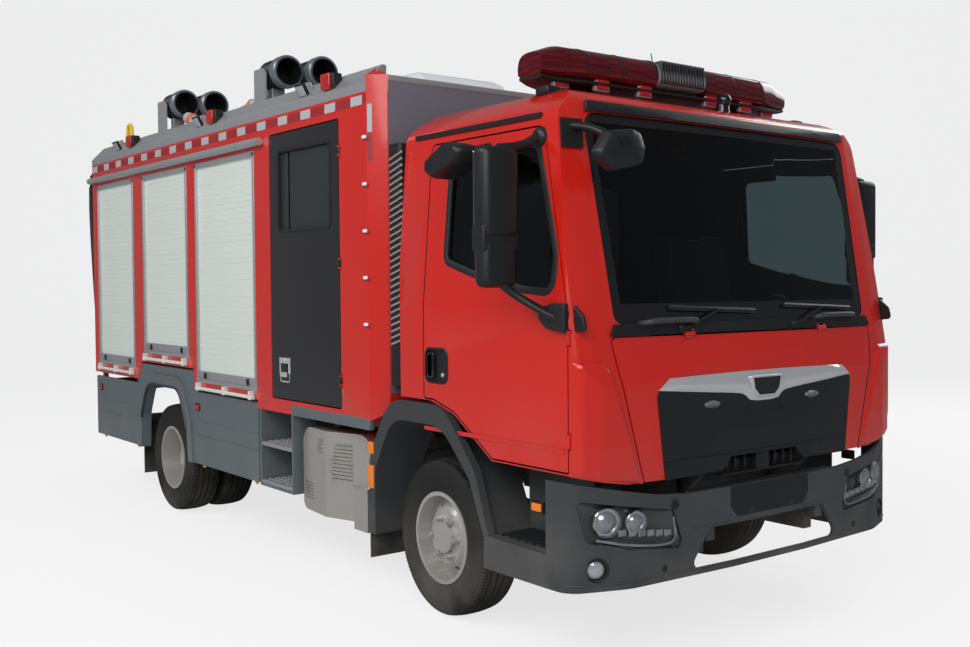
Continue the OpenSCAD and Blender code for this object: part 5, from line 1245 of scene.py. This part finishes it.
piece("rail_gussets", both_sides(slab(chamfer, 2.704, 2.7935, "z"), (np.array(gusset), gusset_faces)),
      red_paint, "root", 20, slot="red_paint", turn=True)
SLAT_Y = -1.0855
slats = []
for z in 1.360 + 0.0335 * np.arange(30):
    slat = [(-0.398, z), (-0.398, z + 0.011), (-0.276, z + 0.043), (-0.276, z + 0.032)]
    slats.append(slab(slat, SLAT_Y - 0.003, SLAT_Y + 0.004, "y"))
piece("intake_slats", joined(slats), bright_steel, "root", slot="stainless", bevel=0.001)

# Skirts, arches and steps
# Grey pressed skirts close the space under the lockers, with two pressed lines, a raised arch
# ring, yellow drain hooks at their feet, and red and orange side markers with their holders.
lines = []
for x0, x1 in ((-5.150, -4.130), (-2.985, -1.955)):
    for z, tall in ((0.750, 0.012), (0.640, 0.008)):
        lines.append(slab([(BODY_Y - 0.001, z - tall), (BODY_Y + 0.004, z),
                           (BODY_Y - 0.001, z + 0.5 * tall)], x0, x1, "x"))
piece("skirt_creases", both_sides(*lines), skirt_grey, "root", slot="skirt_grey", turn=True)
arch_line = round_loop([(-4.060, 0.380), (-3.080, 0.380), (-3.115, 0.700), (-3.250, 0.944),
                        (-3.900, 0.944), (-4.035, 0.700)], (0, 0, 0.15, 0.16, 0.18, 0.15), 10)
arch_line = arch_line[(arch_line[:, 1] > 0.43)]
arch_line = np.roll(arch_line, -int(np.argmax(arch_line[:, 0])), 0)
path = np.stack([arch_line[:, 0], 0 * arch_line[:, 0] + BODY_Y + 0.017, arch_line[:, 1]], 1)
piece("arch_beads", both_sides(swept(path, ring(0.010, 10))), plastic_grey, "root", slot="bumper_plastic",
      turn=True)

hook_paint = finish_of("hook_yellow", (0.72, 0.45, 0.02), 0.4)[0]
hooks = []
for x in (-5.050, -4.240, -2.900, -2.030):
    hooks.append(bent([(x, 1.128, 0.452), (x, 1.128, 0.424), (x + 0.022, 1.128, 0.414),
                       (x + 0.034, 1.128, 0.430)], 0.006, 8))
    hooks.append(block((x - 0.012, 1.122, 0.444), (x + 0.012, 1.136, 0.458), 0.003))
piece("drain_hooks", both_sides(*hooks), hook_paint, "root", turn=True)

marker_red, marker_orange, holders = [], [], []
for x, z in ((-2.930, 0.835), (-5.060, 0.835)):
    marker_red.append(block((x - 0.034, BODY_Y + 0.002, z - 0.018),
                            (x + 0.034, BODY_Y + 0.013, z + 0.018), 0.006))
    holders.append(block((x - 0.042, BODY_Y - 0.002, z - 0.026), (x + 0.042, BODY_Y + 0.005, z + 0.026),
                         0.004))
x, y, z = 0.900, 1.122, 0.700
marker_orange.append(block((x - 0.034, y + 0.002, z - 0.018), (x + 0.034, y + 0.013, z + 0.018), 0.006))
holders.append(block((x - 0.042, y - 0.012, z - 0.026), (x + 0.042, y + 0.005, z + 0.026), 0.004))
marker_orange += [block((-0.566, 1.128, low), (-0.508, 1.1425, high), 0.006)
                  for low, high in ((0.775, 0.840), (0.590, 0.715))]
piece("side_markers_red", both_sides(*marker_red), red_lamp, "root", turn=True)
piece("side_markers_orange", both_sides(*marker_orange), orange_lens, "root", turn=True)
piece("side_marker_holders", both_sides(*holders), plastic_black, "root", slot="black_plastic", turn=True)

# studded aluminium treads of the crew steps, and the cab's entry step
tread_parts = []
for z in (0.461, 0.701):
    tread_parts.append(block((-1.890, 0.825, z - 0.004), (-1.468, 1.146, z + 0.001), 0.002))
    x, y = np.meshgrid(np.arange(-1.870, -1.480, 0.042), np.arange(0.850, 1.140, 0.042), indexing="ij")
    tread_parts += [turned([(0.007, 0.006), (0.012, 0.0)], (a, b, z), (0, 0, 1), 8)
                    for a, b in zip(x.ravel(), y.ravel())]
    tread_parts.append(block((-1.890, 1.130, z - 0.022), (-1.468, 1.148, z + 0.004), 0.003))
piece("crew_treads", both_sides(*tread_parts), rail_alloy, "root", slot="rail_alu", turn=True)
cab_tread = []
for k in range(7):
    cab_tread.append(block((0.556 + k * 0.058, 0.880, 0.509), (0.594 + k * 0.058, 1.070, 0.516), 0.002))
for k in range(9):
    y = 0.885 + k * 0.021
    cab_tread += [block((0.548, y, 0.513), (0.945, y + 0.006, 0.519), 0.001)]
piece("entry_treads", both_sides(*cab_tread), plastic_black, "root", slot="bumper_plastic", turn=True)

# Silencer box and fillers
# A folded stainless cover behind the cab on the right: pressed louvres and small holes let the
# heat out, and a blue cap closes the filler beside it. The fuel tank on the left has a black cap.
FOLD_X, FOLD_Y = -1.050, -1.140


def cover_y(x):
    """The silencer cover's face: it folds at FOLD_X and runs back 0.1 behind it and 0.27 ahead."""
    return FOLD_Y + np.abs(x - FOLD_X) * np.where(x < FOLD_X, 0.10, 0.27)


LIP = [(-0.001, -0.006), (0.006, -0.004), (0.007, 0.000), (-0.001, 0.007)]
louvre_parts = []
for first, last, count, top in ((-1.000, -0.840, 10, 0.780), (-1.180, -1.090, 4, 0.790)):
    for k in range(count):
        x = np.linspace(first + 0.008 * max(0, 4 - k), last, 3)
        z = np.full(3, top - 0.021 * k)
        louvre_parts.append(swept(np.stack([x, cover_y(x) - 0.001, z], 1), LIP))
pinholes = [turned([(0.0001, 0.0015), (0.004, 0.001), (0.005, -0.002)],
                   (x, float(cover_y(x)) - 0.0008, z), (0, -1, 0), 8)
            for x in np.arange(-1.360, -1.250, 0.018) for z in np.arange(0.430, 0.530, 0.018)]
piece("silencer_louvres", joined(louvre_parts), bright_steel, "root", slot="stainless", turn=True)
piece("silencer_pinholes", joined(pinholes), chassis_black, "root", slot="stainless", turn=True)
piece("filler_tread", joined([block((-0.764, -1.124, 0.560), (-0.606, -0.822, 0.571), 0.003)]),
      bright_steel, "root", slot="stainless", turn=True)
piece("sill_fascia", both_sides(block((-1.466, 1.120, 0.902), (-0.522, 1.1515, 0.964), 0.004)),
      skirt_grey, "root", slot="skirt_grey", turn=True)
cap_blue = finish_of("filler_blue", (0.01, 0.10, 0.42), 0.4)[0]
cap_profile = [(0.0001, 0.034), (0.026, 0.034), (0.036, 0.028), (0.038, 0.0)]
CAP_PLACE = (-0.662, -0.905, 0.672)
piece("additive_cap", joined([turned(cap_profile, CAP_PLACE, (0.35, -0.5, 0.79), 28)]), cap_blue, "root",
      turn=True)
neck = bent([(-0.668, -0.895, 0.668), (-0.655, -0.870, 0.610), (-0.640, -0.862, 0.540)], 0.024)
piece("additive_neck", joined([neck]), plastic_black, "root", slot="black_plastic", turn=True)
FUEL_CAP = [(0.0001, 0.030), (0.040, 0.030), (0.050, 0.022), (0.052, 0)]
piece("fuel_cap", joined([turned(FUEL_CAP, (-0.800, 0.960, 0.880), (0, 0, 1), 32)]), plastic_black,
      "root", slot="black_plastic", turn=True)

# Roof gear
# Square flood lamps that lean down and red beacons stand on the roof rails, and bent yellow rails
# guard the head of the ladder.
flood_glass, beacon_parts, flood_body, flood_back = [], [], [], []
LEAN = math.radians(28)
PIVOT_Y, PIVOT_Z = 1.118, 2.822


def leaned(low, high, r):
    """A round-edged block turned about a line along x, so that its outer face looks down."""
    points, faces = block(low, high, r)
    y, z = points[:, 1] - PIVOT_Y, points[:, 2] - PIVOT_Z
    points[:, 1] = PIVOT_Y + y * math.cos(LEAN) + z * math.sin(LEAN)
    points[:, 2] = PIVOT_Z - y * math.sin(LEAN) + z * math.cos(LEAN)
    return points, faces


for x in (-1.303, -2.900, -4.609):
    flood_back.append(leaned((x - 0.048, 1.078, 2.790), (x + 0.048, 1.128, 2.856), 0.012))
    flood_body.append(leaned((x - 0.056, 1.122, 2.782), (x + 0.056, 1.142, 2.864), 0.005))
    flood_body.append(block((x - 0.016, 1.090, 2.772), (x + 0.016, 1.125, 2.815), 0.004))
    flood_glass.append(leaned((x - 0.046, 1.139, 2.792), (x + 0.046, 1.1445, 2.854), 0.003))
for x in (-0.977, -2.645, -4.283):
    flood_body.append(block((x + 0.036, 1.080, 2.775), (x + 0.068, 1.140, 2.866), 0.008))
    beacon_parts.append(block((x - 0.062, 1.084, 2.778), (x + 0.040, 1.154, 2.868), 0.012, 5))
piece("flood_bodies", both_sides(*flood_body), plastic_black, "root", slot="black_plastic", turn=True)
piece("flood_backs", both_sides(*flood_back), rail_alloy, "root", slot="rail_alu", turn=True)
piece("flood_glasses", both_sides(*flood_glass), clear_lens, "root", turn=True)
piece("beacons", both_sides(*beacon_parts), red_lamp, "root", turn=True)

yellow = finish_of("rail_yellow", (0.80, 0.52, 0.02), 0.38)[0]
rails = []
for y in (-0.900, -0.500):
    rails.append(bent([(-5.080, y, 2.732), (-5.048, y, 2.990), (-5.035, y, 3.050), (-4.965, y, 3.050),
                       (-4.952, y, 2.990), (-4.920, y, 2.732)], 0.0165))
piece("head_rails", joined(rails), yellow, "root", turn=True)

# Rear lamps, plate field and tail
# Tail lamp clusters of red and orange lenses sit in black boxes on the rear bar, with reflectors,
# high marker lamps, and a bare plate field to the right of the middle.
cluster, red_parts, orange_parts, white_parts = [], [], [], []
y = 0.80
cluster.append(block((-5.275, y - 0.05, 0.430), (-5.232, y + 0.27, 0.550), 0.010))
red_parts += [block((-5.283, y - 0.040, 0.442), (-5.268, y + 0.035, 0.538), 0.006),
              block((-5.283, y + 0.185, 0.442), (-5.268, y + 0.260, 0.538), 0.006)]
orange_parts.append(block((-5.283, y + 0.042, 0.442), (-5.268, y + 0.108, 0.538), 0.006))
white_parts.append(block((-5.283, y + 0.114, 0.442), (-5.268, y + 0.178, 0.538), 0.006))
red_parts.append(block((-5.222, 1.04, 2.560), (-5.206, 1.10, 2.620), 0.010))
orange_parts.append(block((-5.222, 1.04, 0.985), (-5.206, 1.10, 1.030), 0.006))
piece("tail_lamp_boxes", both_sides(*cluster), plastic_black, "root", slot="black_plastic", turn=True)
piece("tail_lamps_red", both_sides(*red_parts), red_lamp, "root", turn=True)
piece("tail_lamps_orange", both_sides(*orange_parts), orange_lens, "root", turn=True)
piece("tail_lamps_clear", both_sides(*white_parts), clear_lens, "root", turn=True)
REAR_PLATE = [(-0.62, 0.432), (-0.10, 0.432), (-0.10, 0.548), (-0.62, 0.548)]
piece("rear_plate_field", slab(REAR_PLATE, -5.239, -5.234, "x"), gloss_black, "root",
      slot="black_plastic", bevel=0.002)

# Suction hoses and the canvas hose
# Wide ribbed black hoses with bright mouths lie in two pairs of grey cradles, open ends forwards.
# A silver-grey canvas hose hangs between them, with orange straps and one dark band round it.
DUCT_R, DUCT_Z, DUCT_LONG = 0.098, 3.050, 0.240
DUCT_ENDS = ((-1.930, -0.910), (-1.820, -0.720), (-3.580, -0.950), (-3.490, -0.760))
ducts, mouths, cradles = [], [], []
for x, y in DUCT_ENDS:
    along = np.linspace(0.02, DUCT_LONG, 45)
    ribs = 0.0045 * (np.arange(45) % 4 < 2)
    outer = np.stack([DUCT_R - 0.0045 + ribs, -along], 1)
    inner = np.stack([np.full(12, DUCT_R - 0.020) + 0.003 * (np.arange(12) % 2),
                      -np.linspace(0.19, 0.0, 12)], 1)
    profile = np.concatenate([[(0.0001, -DUCT_LONG)], outer[::-1], [(DUCT_R - 0.014, 0.0)], inner[::-1],
                              [(0.0001, -0.19)]])
    ducts.append(turned(profile, (x, y, DUCT_Z), (1, 0, 0), 56))
    lip = [(DUCT_R - 0.012, -0.030), (DUCT_R - 0.010, -0.004), (DUCT_R - 0.002, -0.004),
           (DUCT_R + 0.006, -0.012), (DUCT_R + 0.006, -0.070), (DUCT_R, -0.075)]
    mouths.append((turned(lip, (x, y, DUCT_Z), (1, 0, 0), 56)[0], grid_faces(56, 6, True, True)))
    cradles.append(block((x - 0.202, y - 0.044, 2.7305), (x - 0.158, y + 0.044, 2.960), 0.004))
    if y in (-0.910, -0.950):
        cradles.append(slab([(x - 0.260, 2.7305), (x - 0.090, 2.7305), (x - 0.090, 3.040),
                             (x - 0.130, 3.075), (x - 0.260, 3.075)], y - 0.122, y - 0.112, "y"))
made = piece("suction_hoses", joined(ducts), plastic_black, "root", slot="duct_black", turn=True)
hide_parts("roof_ducts")
mouth_rim = finish_of("hose_mouth", (0.24, 0.26, 0.30), 0.3, 0.6)[0]
piece("hose_mouths", joined(mouths), mouth_rim, "root", slot="hose_grey", turn=True)
piece("hose_cradles", joined(cradles), rail_alloy, "root", slot="rail_alu", turn=True)
HOSE_PATH = [(-2.173, -0.905, 2.940), (-2.330, -0.925, 2.905), (-2.520, -0.950, 2.860),
             (-2.720, -0.955, 2.835), (-3.050, -0.950, 2.832), (-3.250, -0.945, 2.850),
             (-3.420, -0.935, 2.890), (-3.560, -0.945, 2.940)]
hose_line = smoothed(HOSE_PATH, 3)
hose_points, hose_faces = swept(hose_line, ring(0.041, 22))
turns = len(hose_points) // 22
swell = 1 + 0.05 * np.sin(np.arange(turns) * 1.9) + 0.04 * np.sin(np.arange(turns) * 4.7 + 1)
hose_rings = hose_points[:turns * 22].reshape(turns, 22, 3)
middles = hose_rings.mean(1, keepdims=True)
hose_points[:turns * 22] = (middles + (hose_rings - middles) * swell[:, None, None]).reshape(-1, 3)
made = piece("canvas_hose", (hose_points, hose_faces), hose_canvas, "root", slot="hose_grey", turn=True)
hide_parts("roof_hose")
strap_orange, start, shader = finish_of("strap_orange", (0.75, 0.16, 0.03), 0.7)
bumped(start, shader, noise(start, 400, 2.0), 0.3, 0.001)
STRAPS = ((-2.420, -0.937, 0.152, 0.45), (-3.330, -0.940, 0.138, -0.25), (-2.250, -0.915, 0.193, 0.30),
          (-3.480, -0.939, 0.182, -0.35))
straps = [turned([(0.040, -0.020), (0.049, -0.020), (0.049, 0.020), (0.040, 0.020)], (x, y, 2.730 + z),
                 (1, 0, slope), 28)[0] for x, y, z, slope in STRAPS]
tails = [swept(smoothed([(-3.330, -0.945, 2.850), (-3.350, -1.010, 2.800), (-3.365, -1.060, 2.840),
                         (-3.380, -1.085, 2.806)], 3),
               [(-0.010, -0.0012), (0.010, -0.0012), (0.010, 0.0012), (-0.010, 0.0012)])]
strap_faces = grid_faces(28, 4, True, True)
piece("hose_straps", joined([(points, strap_faces) for points in straps] + tails), strap_orange, "root",
      turn=True)
dark_band = turned([(0.040, -0.040), (0.0475, -0.040), (0.0475, 0.040), (0.040, 0.040)],
                   (-2.880, -0.952, 2.833), (1, 0, 0), 28)[0]
piece("hose_band", (dark_band, strap_faces), plastic_black, "root", slot="black_plastic", turn=True)

# Ladder
# A dark tube ladder hangs behind the tail on the right, on four square feet; each rung is a
# bar with a grooved sleeve over its middle.
LADDER_Y, TOP, FOOT = (-1.110, -0.760), (-5.428, 2.600), (-5.272, 1.360)
ladder = []
for y in LADDER_Y:
    ladder.append(bent([(-5.216, y, 2.668), (TOP[0], y, TOP[1]), (FOOT[0], y, FOOT[1]),
                        (-5.216, y, 1.360)], 0.018, 14, 2))
    for z in (2.668, 1.360):
        ladder.append(block((-5.224, y - 0.03, z - 0.03), (-5.2105, y + 0.03, z + 0.03), 0.004))
for k in range(1, 6):
    s = k / 5.6
    x, z = FOOT[0] + (TOP[0] - FOOT[0]) * s, FOOT[1] + (TOP[1] - FOOT[1]) * s
    ladder.append(bar((x, LADDER_Y[0], z), (x, LADDER_Y[1], z), 0.014))
    groove = np.stack([0.016 - 0.002 * (np.arange(41) % 2), np.linspace(0.03, 0.32, 41)], 1)
    ladder.append(turned(groove, (x, LADDER_Y[0], z), (0, 1, 0), 14))
made = piece("tail_ladder", joined(ladder), plastic_black, "root", slot="ladder_dark", turn=True)
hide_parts("rear_ladder")
